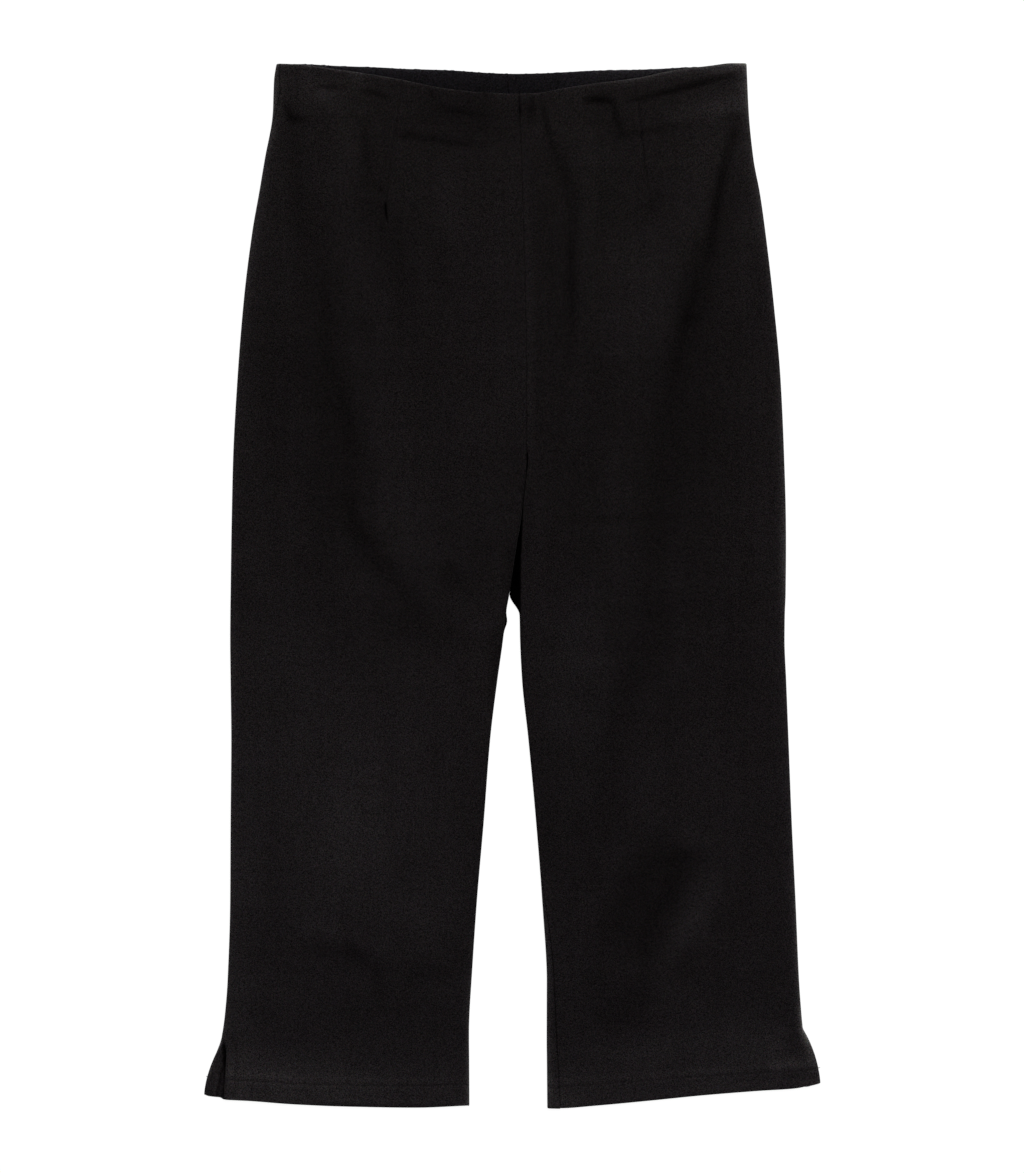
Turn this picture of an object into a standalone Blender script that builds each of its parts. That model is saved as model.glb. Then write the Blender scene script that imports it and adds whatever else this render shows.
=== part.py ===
"""High-waisted cropped trousers laid flat with the front up, as thin closed walls of cloth.

The garment lies on the XY plane. +Y points to the waist, +X to the wearer's left side and +Z up.
Every length below is in millimetres and becomes metres when a mesh is made. A drop is measured
down the garment from the top of the waist. Each leg is a flat tube of a front and a back panel.
The panels meet along its two folded rims, or where a seam has turned onto the front.
"""

import math
from typing import NamedTuple

import bpy
import numpy as np

MM = 0.001

LENGTH = 762.0
CENTRING = -0.39
CLOTH = 1.2
BAND_CLOTH = 1.0
SEAM_GAP = 0.3
RIM_RADIUS = 2.2
CREST = 4.4
LEG_CROWN = 3.2
LEG_CROWN_STARTS = 271.0
CROWN_POWER = 4
FOLD_GAIN = 1.9
FOLD_ENDS_POWER = 0.7
LOWEST_FRONT = 3.0
BAND_DEPTH = 37.0
BAND_SETBACK = 1.0
BAND_END_ROOM = 2.8
BAND_BULK_ENDS = (57.0, 87.0)
ROW_STEP = 13.0
MIDDLE_EASE = 1.35
SOLVING_ROUNDS = 3

CROTCH_DROP = 387.0
CROTCH_FOOT_DROP = 402.0
WAIST_DIP_FADE = 120.0
CENTRE_BACK_SHIFT = -8.4
EDGE_FADE_POWER = 2
HEM_FADE = 130.0
HEM_CALM = 60.0
HEM_FOLD_LOSS = 0.6
BACK_HEM_PEEK = 0.7
FLAP_LIFT = 1.6
FLAP_LIFT_STARTS = (-1.0, 3.0)
FLARE_BOW = 0.5
SLIT_UNFOLDED = 0.25

CLOTH_COLOUR = (0.0085, 0.0074, 0.0078, 1.0)
BAND_COLOUR = (0.0082, 0.0075, 0.0088, 1.0)
ROUGHNESS = 0.9
SHARP_ANGLE = math.radians(50)


class Section(NamedTuple):
    """Where the four rims of the two legs stand at one drop."""

    name: str
    drop: float
    right_side: float
    right_inner: float
    left_inner: float
    left_side: float


SECTIONS = (
    Section("waist", 0.0, -170.9, 5.5, 5.5, 171.7),
    Section("below the waist edge", 12.0, -172.7, 5.8, 5.8, 172.2),
    Section("foot of the band", 37.0, -173.7, 6.6, 6.6, 173.4),
    Section("high hip", 70.0, -179.5, 7.7, 7.7, 176.8),
    Section("upper hip", 95.0, -183.7, 8.4, 8.4, 181.5),
    Section("hip", 121.0, -188.3, 9.1, 9.1, 185.2),
    Section("seat", 172.0, -194.7, 10.4, 10.4, 191.2),
    Section("low seat", 230.0, -199.4, 11.4, 11.4, 196.5),
    Section("rise", 289.0, -202.6, 11.4, 11.4, 199.2),
    Section("fork", 333.0, -203.6, 7.3, 7.3, 200.4),
    Section("inner fork", 350.0, -203.9, 4.4, 4.4, 200.5),
    Section("crotch", CROTCH_DROP, -204.4, -1.2, -1.2, 200.2),
    Section("foot of the crotch", CROTCH_FOOT_DROP, -204.6, -3.9, 6.2, 199.6),
    Section("upper thigh", 420.0, -204.7, -5.8, 6.6, 199.4),
    Section("thigh", 450.0, -204.4, -10.0, 8.1, 200.6),
    Section("above the knee", 493.0, -203.9, -15.2, 12.7, 202.3),
    Section("knee", 552.0, -204.4, -19.8, 18.2, 204.6),
    Section("below the knee", 610.0, -204.7, -24.8, 22.7, 207.4),
    Section("calf", 669.0, -206.6, -28.8, 26.0, 210.0),
    Section("top of the slits", 703.0, -209.4, -30.6, 26.0, 212.7),
    Section("hem", LENGTH, -209.6, -30.3, 26.4, 213.4),
)


class SeamTurn(NamedTuple):
    """How far a seam has turned from its rim onto the front, along the cloth, at one drop."""

    rim: str
    drop: float
    reach: float


SEAM_TURNS = (
    SeamTurn("right_side", 0.0, 4.0),
    SeamTurn("right_side", 20.0, 6.0),
    SeamTurn("right_side", 37.0, 3.5),
    SeamTurn("right_side", 52.0, 0.0),
    SeamTurn("left_inner", 570.0, 0.0),
    SeamTurn("left_inner", 632.0, 4.9),
    SeamTurn("left_inner", 683.0, 7.1),
    SeamTurn("left_inner", LENGTH, 10.8),
)


class Slit(NamedTuple):
    """One side slit: its top, its foot at the hem corner and how far its loose flap swings out."""

    top: float
    foot: float
    back_flare: float
    front_flare: float


SLITS = {
    "right": Slit(top=711.0, foot=750.0, back_flare=14.3, front_flare=0.0),
    "left": Slit(top=703.5, foot=743.5, back_flare=0.0, front_flare=12.1),
}


class HemPoint(NamedTuple):
    """The lowest place of a leg's hem at one place across."""

    leg: str
    across: float
    drop: float


HEM_POINTS = (
    HemPoint("right", -224.6, 753.0),
    HemPoint("right", -220.0, 754.7),
    HemPoint("right", -209.0, 755.7),
    HemPoint("right", -190.0, 756.7),
    HemPoint("right", -160.0, 759.0),
    HemPoint("right", -120.0, 760.7),
    HemPoint("right", -70.0, 761.5),
    HemPoint("right", -30.0, 759.9),
    HemPoint("left", 26.0, 761.7),
    HemPoint("left", 36.0, 761.9),
    HemPoint("left", 60.0, 760.2),
    HemPoint("left", 100.0, 756.5),
    HemPoint("left", 140.0, 752.5),
    HemPoint("left", 180.0, 749.3),
    HemPoint("left", 207.0, 747.5),
    HemPoint("left", 225.3, 743.4),
)


class WaistPoint(NamedTuple):
    """How far the waist edges hang below the top of the waist at one place across."""

    across: float
    front: float
    back: float


WAIST_POINTS = (
    WaistPoint(-171.0, 0.4, 0.6),
    WaistPoint(-154.0, 1.3, 0.4),
    WaistPoint(-125.0, 5.2, 1.8),
    WaistPoint(-94.0, 9.9, 2.9),
    WaistPoint(-79.0, 12.7, 3.8),
    WaistPoint(-47.0, 19.0, 4.8),
    WaistPoint(-13.0, 22.3, 7.0),
    WaistPoint(3.0, 22.8, 7.5),
    WaistPoint(19.0, 22.2, 7.2),
    WaistPoint(41.0, 18.3, 6.2),
    WaistPoint(58.0, 15.8, 5.2),
    WaistPoint(94.0, 10.9, 4.4),
    WaistPoint(109.0, 7.6, 3.8),
    WaistPoint(123.0, 4.9, 3.0),
    WaistPoint(145.0, 2.2, 2.2),
    WaistPoint(160.0, 0.3, 1.4),
    WaistPoint(171.7, 0.2, 0.8),
)


class Fold(NamedTuple):
    """A soft trough (height below 0) or ridge along a curve through three places."""

    name: str
    start: tuple[float, float]
    middle: tuple[float, float]
    end: tuple[float, float]
    half_width: float
    height: float


FOLDS = (
    Fold("right thigh trough", (-154, 87), (-130, 225), (-112, 340), 16, -1.9),
    Fold("right thigh trough, foot", (-114, 330), (-92, 370), (-54, 413), 12, -1.5),
    Fold("right thigh swell", (-96, 235), (-86, 306), (-72, 372), 19, 1.9),
    Fold("right side swell", (-170, 190), (-160, 290), (-150, 400), 18, 1.2),
    Fold("right hip ridge", (-116, 30), (-117, 66), (-116, 112), 13, 1.2),
    Fold("right dart trough", (-90, 100), (-86, 148), (-76, 200), 11, -1.2),
    Fold("right belly trough", (-56, 118), (-50, 150), (-44, 178), 10, -0.8),
    Fold("right knee swell", (-122, 510), (-120, 570), (-118, 630), 26, 1.3),
    Fold("right calf arc", (-152, 640), (-122, 652), (-90, 666), 9, -1.5),
    Fold("right calf arc, inner", (-76, 672), (-60, 663), (-38, 668), 9, -1.3),
    Fold("left thigh trough, head", (160, 66), (142, 132), (124, 214), 14, -1.8),
    Fold("left thigh trough", (122, 205), (108, 310), (96, 412), 14, -2.0),
    Fold("left thigh trough, foot", (92, 425), (84, 460), (72, 495), 11, -1.1),
    Fold("left hip swell", (88, 112), (94, 168), (84, 228), 24, 1.9),
    Fold("left side swell", (158, 200), (152, 300), (148, 400), 20, 1.4),
    Fold("left centre trough", (47, 88), (45, 150), (44, 228), 6, -1.5),
    Fold("left centre ridge", (55, 84), (56, 140), (56, 200), 6, 0.5),
    Fold("left inner thigh swell", (52, 330), (54, 400), (50, 460), 20, 1.2),
    Fold("left calf trough", (122, 580), (94, 628), (66, 706), 14, -2.2),
    Fold("left calf trough, head", (138, 574), (118, 576), (94, 584), 9, -1.1),
    Fold("left calf ridge", (147, 596), (133, 630), (108, 662), 10, 1.9),
    Fold("crotch valley", (11, 276), (8.5, 336), (2, 398), 5, -2.6),
    Fold("crotch swell, right", (-6, 318), (-14, 366), (-24, 420), 11, 1.1),
    Fold("crotch swell, left", (22, 318), (22, 366), (24, 420), 10, 1.3),
)

FOLD_SAMPLES = 24


class Panel(NamedTuple):
    """A leg panel: its leg, its layer and how many steps its mesh takes across."""

    leg: str
    layer: str
    side_steps: int
    middle_steps: int
    inner_steps: int
    colour: tuple[float, float, float, float]


PANELS = {
    "front_right": Panel("right", "front", 3, 22, 3, CLOTH_COLOUR),
    "front_left": Panel("left", "front", 3, 22, 3, CLOTH_COLOUR),
    "back_right": Panel("right", "back", 4, 3, 2, CLOTH_COLOUR),
    "back_left": Panel("left", "back", 2, 3, 4, CLOTH_COLOUR),
}

BAND_STEPS_ACROSS = 12
BAND_STEPS_DOWN = 2
QUARTER_RIM = RIM_RADIUS * math.pi / 2


def smooth_step(low: float, high: float, value: np.ndarray) -> np.ndarray:
    """Rise from 0 at low to 1 at high with level ends."""
    share = np.clip((value - low) / (high - low), 0.0, 1.0)
    return share * share * (3.0 - 2.0 * share)


def smooth_curve(places: list[float], values: list[float], at: np.ndarray) -> np.ndarray:
    """Read a smooth curve through the given values, with no overshoot between them."""
    x = np.asarray(places, dtype=float)
    y = np.asarray(values, dtype=float)
    steps = np.diff(x)
    slopes = np.diff(y) / steps
    tangents = np.empty_like(y)
    tangents[0] = slopes[0]
    tangents[-1] = slopes[-1]
    same_way = slopes[:-1] * slopes[1:] > 0
    total = np.where(same_way, slopes[:-1] + slopes[1:], 1.0)
    tangents[1:-1] = np.where(same_way, 2 * slopes[:-1] * slopes[1:] / total, 0.0)
    inside = np.clip(at, x[0], x[-1])
    cell = np.clip(np.searchsorted(x, inside, side="right") - 1, 0, len(x) - 2)
    t = (inside - x[cell]) / steps[cell]
    start_weight = (1 + 2 * t) * (1 - t) ** 2
    end_weight = t * t * (3 - 2 * t)
    start_pull = t * (1 - t) ** 2 * steps[cell]
    end_pull = t * t * (t - 1) * steps[cell]
    ends = start_weight * y[cell] + end_weight * y[cell + 1]
    return ends + start_pull * tangents[cell] + end_pull * tangents[cell + 1]


def rim(name: str, drop: np.ndarray) -> np.ndarray:
    """Place of a named rim of the section table at each drop."""
    return smooth_curve([s.drop for s in SECTIONS], [getattr(s, name) for s in SECTIONS], drop)


def seam_turn(name: str, drop: np.ndarray) -> np.ndarray:
    """How far the seam of a rim has turned onto the front at each drop."""
    turns = [turn for turn in SEAM_TURNS if turn.rim == name]
    if not turns:
        return np.zeros_like(drop)
    return np.interp(drop, [turn.drop for turn in turns], [turn.reach for turn in turns])


def slit_share(leg: str, drop: np.ndarray) -> np.ndarray:
    """Share of a leg's slit passed at each drop: 0 at its top, 1 at its foot."""
    slit = SLITS[leg]
    return np.clip((drop - slit.top) / (slit.foot - slit.top), 0.0, 1.0)


def side_rim(leg: str, layer: str, drop: np.ndarray) -> np.ndarray:
    """Outer edge of a panel, with its flap swung out beside the slit."""
    slit = SLITS[leg]
    reach = slit.back_flare if layer == "back" else slit.front_flare
    outward = 1.0 if leg == "left" else -1.0
    share = slit_share(leg, drop)
    return rim(f"{leg}_side", drop) + outward * reach * share * (1.0 + FLARE_BOW * (1.0 - share))


def inner_rim(leg: str, layer: str, drop: np.ndarray) -> np.ndarray:
    """Inner edge of a panel: the centre seam down to the crotch, then the inseam's rim."""
    place = np.where(drop > CROTCH_DROP, rim(f"{leg}_inner", drop), rim("right_inner", drop))
    if layer == "back":
        place = place + CENTRE_BACK_SHIFT * np.clip(1.0 - drop / CROTCH_DROP, 0.0, 1.0)
    return place


def waist_dip(layer: str, across: np.ndarray) -> np.ndarray:
    """How far the waist edge of a layer hangs below the top of the waist."""
    return smooth_curve(
        [p.across for p in WAIST_POINTS], [getattr(p, layer) for p in WAIST_POINTS], across
    )


def hem_drop(leg: str, layer: str, across: np.ndarray) -> np.ndarray:
    """Drop of the hem edge of a panel at each place across the leg."""
    points = [point for point in HEM_POINTS if point.leg == leg]
    drop = smooth_curve([p.across for p in points], [p.drop for p in points], across)
    other = "back" if layer == "front" else "front"
    corner = abs(float(side_rim(leg, other, np.asarray(LENGTH))))
    starts, ends = FLAP_LIFT_STARTS
    loose = smooth_step(corner + starts, corner + ends, np.abs(across))
    if layer == "front":
        return drop - BACK_HEM_PEEK * (1.0 - loose)
    return drop - FLAP_LIFT * loose


def true_drop(panel: Panel, across: np.ndarray, row: np.ndarray) -> np.ndarray:
    """Bend a level row of the mesh to the waist edge above and to the hem below."""
    waist_part = np.clip(1.0 - row / WAIST_DIP_FADE, 0.0, 1.0) ** EDGE_FADE_POWER
    hem_part = np.clip(1.0 - (LENGTH - row) / HEM_FADE, 0.0, 1.0) ** EDGE_FADE_POWER
    hem_shift = hem_drop(panel.leg, panel.layer, across) - LENGTH
    return row + waist_dip(panel.layer, across) * waist_part + hem_shift * hem_part


def fold_curve(fold: Fold) -> tuple[np.ndarray, np.ndarray]:
    """Places along a fold and the share of its height there, which fades out at both ends."""
    t = np.linspace(0.0, 1.0, FOLD_SAMPLES)[:, None]
    start, middle, end = (np.array(place, dtype=float) for place in fold[1:4])
    bend = 2.0 * middle - 0.5 * (start + end)
    places = (1 - t) ** 2 * start + 2 * t * (1 - t) * bend + t * t * end
    return places, np.sin(np.pi * t[:, 0]) ** FOLD_ENDS_POWER


def fold_height(fold: Fold, across: np.ndarray, drop: np.ndarray) -> np.ndarray:
    """Height that one fold adds to the front at each place."""
    places, shares = fold_curve(fold)
    nearest = np.full(across.shape, np.inf)
    share = np.zeros(across.shape)
    for (ax, ay), (bx, by), share_a, share_b in zip(places, places[1:], shares, shares[1:]):
        run_x, run_y = bx - ax, by - ay
        along = ((across - ax) * run_x + (drop - ay) * run_y) / (run_x ** 2 + run_y ** 2)
        along = np.clip(along, 0.0, 1.0)
        gap = np.hypot(across - ax - along * run_x, drop - ay - along * run_y)
        closer = gap < nearest
        nearest = np.where(closer, gap, nearest)
        share = np.where(closer, share_a + along * (share_b - share_a), share)
    return fold.height * share * np.exp(-((nearest / fold.half_width) ** 2))


def front_height(
    leg: str, across: np.ndarray, drop: np.ndarray, row: np.ndarray
) -> np.ndarray:
    """Height of the front's outer face above the table, with its crown and folds."""
    side = rim(f"{leg}_side", drop)
    inner = inner_rim(leg, "front", drop)
    body = np.clip(across / np.abs(side), -1.0, 1.0)
    leg_share = np.clip((across - side) / (inner - side), 0.0, 1.0) * 2.0 - 1.0
    in_leg = smooth_step(LEG_CROWN_STARTS, CROTCH_FOOT_DROP, drop)
    body_crown = 1.0 - body ** CROWN_POWER
    leg_crown = 1.0 - leg_share ** CROWN_POWER
    crown = body_crown * (1.0 - in_leg) + leg_crown * in_leg
    near_hem = 1.0 - smooth_step(0.0, HEM_CALM, LENGTH - row)
    folds = sum(fold_height(fold, across, drop) for fold in FOLDS)
    height = CREST + LEG_CROWN * crown * (1.0 - near_hem)
    height = height + FOLD_GAIN * folds * (1.0 - HEM_FOLD_LOSS * near_hem)
    band_bulk = (BAND_CLOTH + SEAM_GAP) * (1.0 - smooth_step(*BAND_BULK_ENDS, drop))
    return np.maximum(height, LOWEST_FRONT + band_bulk)


class RimSpot(NamedTuple):
    """Places round a folded rim: how far in, how high, and which way the cloth faces."""

    inward: np.ndarray
    height: np.ndarray
    facing_out: np.ndarray
    facing_up: np.ndarray


def rim_spot(along: np.ndarray, top: np.ndarray, folded: np.ndarray) -> RimSpot:
    """Follow the cloth round a rim, from the table (along below 0) over to the front.

    A rim that isn't folded, folded = 0, is the flat edge of a seam between two panels.
    """
    turn = np.clip(np.abs(along) / RIM_RADIUS, 0.0, math.pi / 2)
    arc_inward = RIM_RADIUS * (1 - np.cos(turn)) + np.maximum(np.abs(along) - QUARTER_RIM, 0.0)
    over = along >= 0
    arc_height = np.where(
        over,
        RIM_RADIUS + (top - RIM_RADIUS) * np.sin(turn),
        RIM_RADIUS * (1 - np.sin(turn)),
    )
    flat_height = np.where(over, top, 0.0)
    inward = folded * arc_inward + (1 - folded) * np.abs(along)
    height = folded * arc_height + (1 - folded) * flat_height
    facing_out = folded * np.cos(turn)
    facing_up = np.where(over, 1.0, -1.0) * np.sqrt(1.0 - facing_out ** 2)
    return RimSpot(inward, height, facing_out, facing_up)


def rim_lengths(panel: Panel, turn: np.ndarray, steps: int) -> np.ndarray:
    """Cloth lengths round a rim where the mesh has its columns, from the seam inwards."""
    share = np.linspace(0.0, 1.0, steps + 1)
    if panel.layer == "front":
        return turn + SEAM_GAP / 2 + QUARTER_RIM * share
    return (turn - SEAM_GAP / 2) * (1 - share) - QUARTER_RIM * share


class PanelGrid(NamedTuple):
    """A panel's mesh places, rows by columns, with the lengths of cloth round its two rims."""

    across: np.ndarray
    drop: np.ndarray
    row: np.ndarray
    side_along: np.ndarray
    side_folded: np.ndarray
    inner_along: np.ndarray
    inner_folded: np.ndarray


def panel_columns(panel: Panel) -> np.ndarray:
    """Number each column: rim columns of the side, then the middle ones, then the inner rim."""
    return np.arange(panel.side_steps + panel.middle_steps + panel.inner_steps + 1)


def towards_inner(leg: str) -> float:
    """Sign of the way across from a leg's side to its inner rim."""
    return 1.0 if leg == "right" else -1.0


def side_fold_share(panel: Panel, drop: np.ndarray) -> np.ndarray:
    """How far a panel's side is folded round: 1 on the rim, 0 where a back flap lies loose."""
    if panel.layer == "front":
        return np.ones_like(drop)
    return 1.0 - smooth_step(0.0, SLIT_UNFOLDED, slit_share(panel.leg, drop))


def panel_grid(panel: Panel, rows: np.ndarray) -> PanelGrid:
    """Set out a panel's mesh. Place and drop hang on each other, so both are found in rounds."""
    columns = panel_columns(panel)
    row = np.repeat(rows[:, None], len(columns), axis=1)
    last_side = panel.side_steps
    first_inner = panel.side_steps + panel.middle_steps
    middle_share = np.clip((columns - last_side) / panel.middle_steps, 0.0, 1.0)
    middle_share = 1.0 - (1.0 - middle_share) ** MIDDLE_EASE
    level_top = np.full_like(row, CREST)
    drop = row.copy()
    for _ in range(SOLVING_ROUNDS):
        side_turn = seam_turn(f"{panel.leg}_side", drop[:, :1])
        side_lengths = rim_lengths(panel, side_turn, panel.side_steps)
        side_along = np.repeat(side_lengths[:, -1:], len(columns), axis=1)
        side_along[:, : last_side + 1] = side_lengths
        side_folded = side_fold_share(panel, drop)
        inner_turn = seam_turn(f"{panel.leg}_inner", drop[:, :1])
        inner_lengths = rim_lengths(panel, inner_turn, panel.inner_steps)[:, ::-1]
        inner_along = np.repeat(inner_lengths[:, :1], len(columns), axis=1)
        inner_along[:, first_inner:] = inner_lengths
        inner_folded = smooth_step(CROTCH_DROP, CROTCH_FOOT_DROP, drop)
        side_inward = rim_spot(side_along, level_top, side_folded).inward
        inner_inward = rim_spot(inner_along, level_top, inner_folded).inward
        way = towards_inner(panel.leg)
        from_side = side_rim(panel.leg, panel.layer, drop) + way * side_inward
        from_inner = inner_rim(panel.leg, panel.layer, drop) - way * inner_inward
        across = from_side + (from_inner - from_side) * middle_share
        drop = true_drop(panel, across, row)
    return PanelGrid(across, drop, row, side_along, side_folded, inner_along, inner_folded)


def panel_surface(panel: Panel, rows: np.ndarray) -> tuple[np.ndarray, np.ndarray]:
    """Outer and inner faces of a panel's wall as grids of places, rows by columns."""
    grid = panel_grid(panel, rows)
    columns = panel_columns(panel)
    top = front_height(panel.leg, grid.across, grid.drop, grid.row)
    side_spot = rim_spot(grid.side_along, top, grid.side_folded)
    inner_spot = rim_spot(grid.inner_along, top, grid.inner_folded)
    by_side = columns <= panel.side_steps
    in_the_middle = ~by_side & (columns < panel.side_steps + panel.middle_steps)
    height = np.where(by_side, side_spot.height, inner_spot.height)
    height = np.where(in_the_middle, top if panel.layer == "front" else 0.0, height)
    facing_up = np.where(by_side, side_spot.facing_up, inner_spot.facing_up)
    facing_inward = np.where(by_side, -side_spot.facing_out, inner_spot.facing_out)
    facing_across = towards_inner(panel.leg) * facing_inward
    outer = np.stack([grid.across, grid.drop, height], axis=-1)
    facing = np.stack([facing_across, np.zeros_like(height), facing_up], axis=-1)
    return outer, outer - CLOTH * facing


def panel_rows() -> np.ndarray:
    """Level rows of the leg panels, from the waist to the hem."""
    return np.append(np.arange(0.0, LENGTH - ROW_STEP / 2, ROW_STEP), LENGTH)


def band_surface(leg: str) -> tuple[np.ndarray, np.ndarray]:
    """Upper and lower faces of one half of the back's inner band, lying on the back panel."""
    rows = np.linspace(BAND_SETBACK, BAND_DEPTH, BAND_STEPS_DOWN + 1)
    share = np.linspace(0.0, 1.0, BAND_STEPS_ACROSS + 1)
    row = np.repeat(rows[:, None], len(share), axis=1)
    way = towards_inner(leg)
    drop = row.copy()
    for _ in range(SOLVING_ROUNDS):
        side = side_rim(leg, "back", drop) + way * BAND_END_ROOM
        inner = inner_rim(leg, "back", drop) - way * SEAM_GAP / 2
        across = side + (inner - side) * share
        drop = row + waist_dip("back", across)
    base = CLOTH + SEAM_GAP
    lower = np.stack([across, drop, np.full_like(drop, base)], axis=-1)
    upper = lower + np.array([0.0, 0.0, BAND_CLOTH])
    return upper, lower


def to_metres(grid: np.ndarray) -> list[tuple[float, float, float]]:
    """Turn grid places (across, drop, height) into points of the garment's centred frame."""
    points = grid.reshape(-1, 3)
    return [((x + CENTRING) * MM, (LENGTH / 2 - drop) * MM, z * MM) for x, drop, z in points]


def wall_faces(row_count: int, column_count: int) -> list[tuple[int, ...]]:
    """Faces of a closed wall between two grids: both sheets and the strip round their edge."""
    second = row_count * column_count

    def at(row: int, column: int) -> int:
        return row * column_count + column

    faces = []
    for row in range(row_count - 1):
        for column in range(column_count - 1):
            quad = (
                at(row, column),
                at(row + 1, column),
                at(row + 1, column + 1),
                at(row, column + 1),
            )
            faces.append(quad)
            faces.append(tuple(second + corner for corner in reversed(quad)))
    edge = [at(0, column) for column in range(column_count)]
    edge += [at(row, column_count - 1) for row in range(1, row_count)]
    edge += [at(row_count - 1, column) for column in range(column_count - 2, -1, -1)]
    edge += [at(row, 0) for row in range(row_count - 2, 0, -1)]
    for here, after in zip(edge, edge[1:] + edge[:1]):
        faces.append((here, after, second + after, second + here))
    return faces


def cloth_material(name: str, colour: tuple[float, float, float, float]) -> bpy.types.Material:
    """Matt black cloth."""
    material = bpy.data.materials.new(name)
    material.use_nodes = True
    shader = material.node_tree.nodes["Principled BSDF"]
    shader.inputs["Base Color"].default_value = colour
    shader.inputs["Roughness"].default_value = ROUGHNESS
    shader.inputs["Metallic"].default_value = 0.0
    material.diffuse_color = colour
    return material


def add_wall(
    name: str,
    faces_of_wall: tuple[np.ndarray, np.ndarray],
    colour: tuple[float, float, float, float],
) -> bpy.types.Object:
    """Make one closed wall object from its two grids."""
    first, second = faces_of_wall
    mesh = bpy.data.meshes.new(name)
    mesh.from_pydata(
        to_metres(first) + to_metres(second), [], wall_faces(first.shape[0], first.shape[1])
    )
    turn_outwards(mesh)
    mesh.shade_smooth()
    mesh.set_sharp_from_angle(angle=SHARP_ANGLE)
    mesh.materials.append(cloth_material(f"{name}_cloth", colour))
    wall = bpy.data.objects.new(name, mesh)
    bpy.context.scene.collection.objects.link(wall)
    return wall


def turn_outwards(mesh: bpy.types.Mesh) -> None:
    """Flip the mesh if its closed surface faces inwards."""
    volume = 0.0
    for polygon in mesh.polygons:
        corners = [mesh.vertices[index].co for index in polygon.vertices]
        for second, third in zip(corners[1:], corners[2:]):
            volume += corners[0].dot(second.cross(third))
    if volume < 0:
        mesh.flip_normals()


def clear_scene() -> None:
    """Remove every object of the open scene."""
    for existing in list(bpy.data.objects):
        bpy.data.objects.remove(existing, do_unlink=True)


def build() -> None:
    """Build the four leg panels and the two halves of the back's inner band."""
    rows = panel_rows()
    for name, panel in PANELS.items():
        add_wall(name, panel_surface(panel, rows), panel.colour)
    for leg in ("right", "left"):
        add_wall(f"back_facing_{leg}", band_surface(leg), BAND_COLOUR)


clear_scene()
build()
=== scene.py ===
"""Looks of a pair of black cropped trousers laid flat with the front up.

Sizes are in millimetres unless a name says otherwise, and become metres when a mesh is made.
"Across" runs to the wearer's left side, "drop" runs down from the top of the waist and "height"
stands above the surface that the garment lies on. The four leg panels and the inner band are
thin closed walls on the forms of their solids, with finer folds, seams and turned edges.
"""

import logging
import math
from collections.abc import Sequence
from dataclasses import dataclass
from enum import Enum
from typing import NamedTuple

import bpy
import numpy as np
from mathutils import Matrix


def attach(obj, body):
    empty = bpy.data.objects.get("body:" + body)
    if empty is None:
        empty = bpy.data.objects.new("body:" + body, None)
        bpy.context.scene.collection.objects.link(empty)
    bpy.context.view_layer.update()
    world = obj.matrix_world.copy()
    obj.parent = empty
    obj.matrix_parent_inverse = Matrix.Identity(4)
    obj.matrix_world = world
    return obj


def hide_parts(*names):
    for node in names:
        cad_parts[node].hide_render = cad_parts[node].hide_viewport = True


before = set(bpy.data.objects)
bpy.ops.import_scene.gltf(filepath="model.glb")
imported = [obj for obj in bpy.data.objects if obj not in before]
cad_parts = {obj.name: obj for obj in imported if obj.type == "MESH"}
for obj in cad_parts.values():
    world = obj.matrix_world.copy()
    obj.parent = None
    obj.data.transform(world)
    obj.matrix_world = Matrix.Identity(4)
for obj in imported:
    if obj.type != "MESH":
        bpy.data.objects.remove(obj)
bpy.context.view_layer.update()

LOG = logging.getLogger("trousers")
MM = 0.001
Colour = tuple[float, float, float, float]
Grid = np.ndarray

WHITE = (1.0, 1.0, 1.0, 1.0)
LEAST_TONE = 0.1
COOL_IN_MIDDLE = 0.45
# The hue turns cooler where painted light brightens the cloth and warmer in painted shade.
COOL_IN_PAINTED_LIGHT = 0.8
COOL_BY_HEIGHT = -1.1
COOL_BY_DRIFT = 1.2
# The hue turns a little greyer in painted highlights.
GREY_IN_PAINTED_LIGHT = 0.07
EMPTY_LINT_CELLS = 0.45
SOLVING_ROUNDS = 3
STROKE_POINTS = 25
STROKE_REACH = 3.0
STROKE_ENDS_POWER = 0.7
LATTICE_ORIGIN = (100.0, 10.0)
SHARP_EDGE = math.radians(65)


class Leg(Enum):
    """The wearer's two legs, with the way that leads outwards from the middle."""

    RIGHT = -1.0
    LEFT = 1.0

    @property
    def word(self) -> str:
        """Name of the leg in lower case, as the pieces' names have it."""
        return self.name.lower()


class Layer(Enum):
    """The two layers of the laid garment."""

    FRONT = "front"
    BACK = "back"


class Section(NamedTuple):
    """Where the four rims of the two legs stand at one drop."""

    name: str
    drop: float
    right_side: float
    right_inner: float
    left_inner: float
    left_side: float


class SeamTurn(NamedTuple):
    """How far a seam has turned from its rim onto the front, along the cloth, at one drop."""

    rim: str
    drop: float
    reach: float


class Slit(NamedTuple):
    """One side slit: its top, its foot at the hem corner and how far its loose flap swings out."""

    top: float
    foot: float
    back_flare: float
    front_flare: float


class HemPoint(NamedTuple):
    """The lowest place of a leg's hem at one place across."""

    across: float
    drop: float


class WaistPoint(NamedTuple):
    """How far the waist edges hang below the top of the waist at one place across."""

    across: float
    front: float
    back: float


class ValleyPoint(NamedTuple):
    """Where the left leg's wall of the gap above the crotch stands at one drop."""

    drop: float
    across: float


class DartPoint(NamedTuple):
    """Where a leg's dart, or the middle of the leg below it, is at one drop and how much painted
    shade lies along it.
    """

    drop: float
    across: float
    dark: float


class Mark(NamedTuple):
    """A soft mark along a curve through three places.

    Its strength is a height, below 0 in a trough, or a tone: painted light above 0, painted shade
    below 0.
    """

    name: str
    start: tuple[float, float]
    middle: tuple[float, float]
    end: tuple[float, float]
    half_width: float
    strength: float


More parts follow.
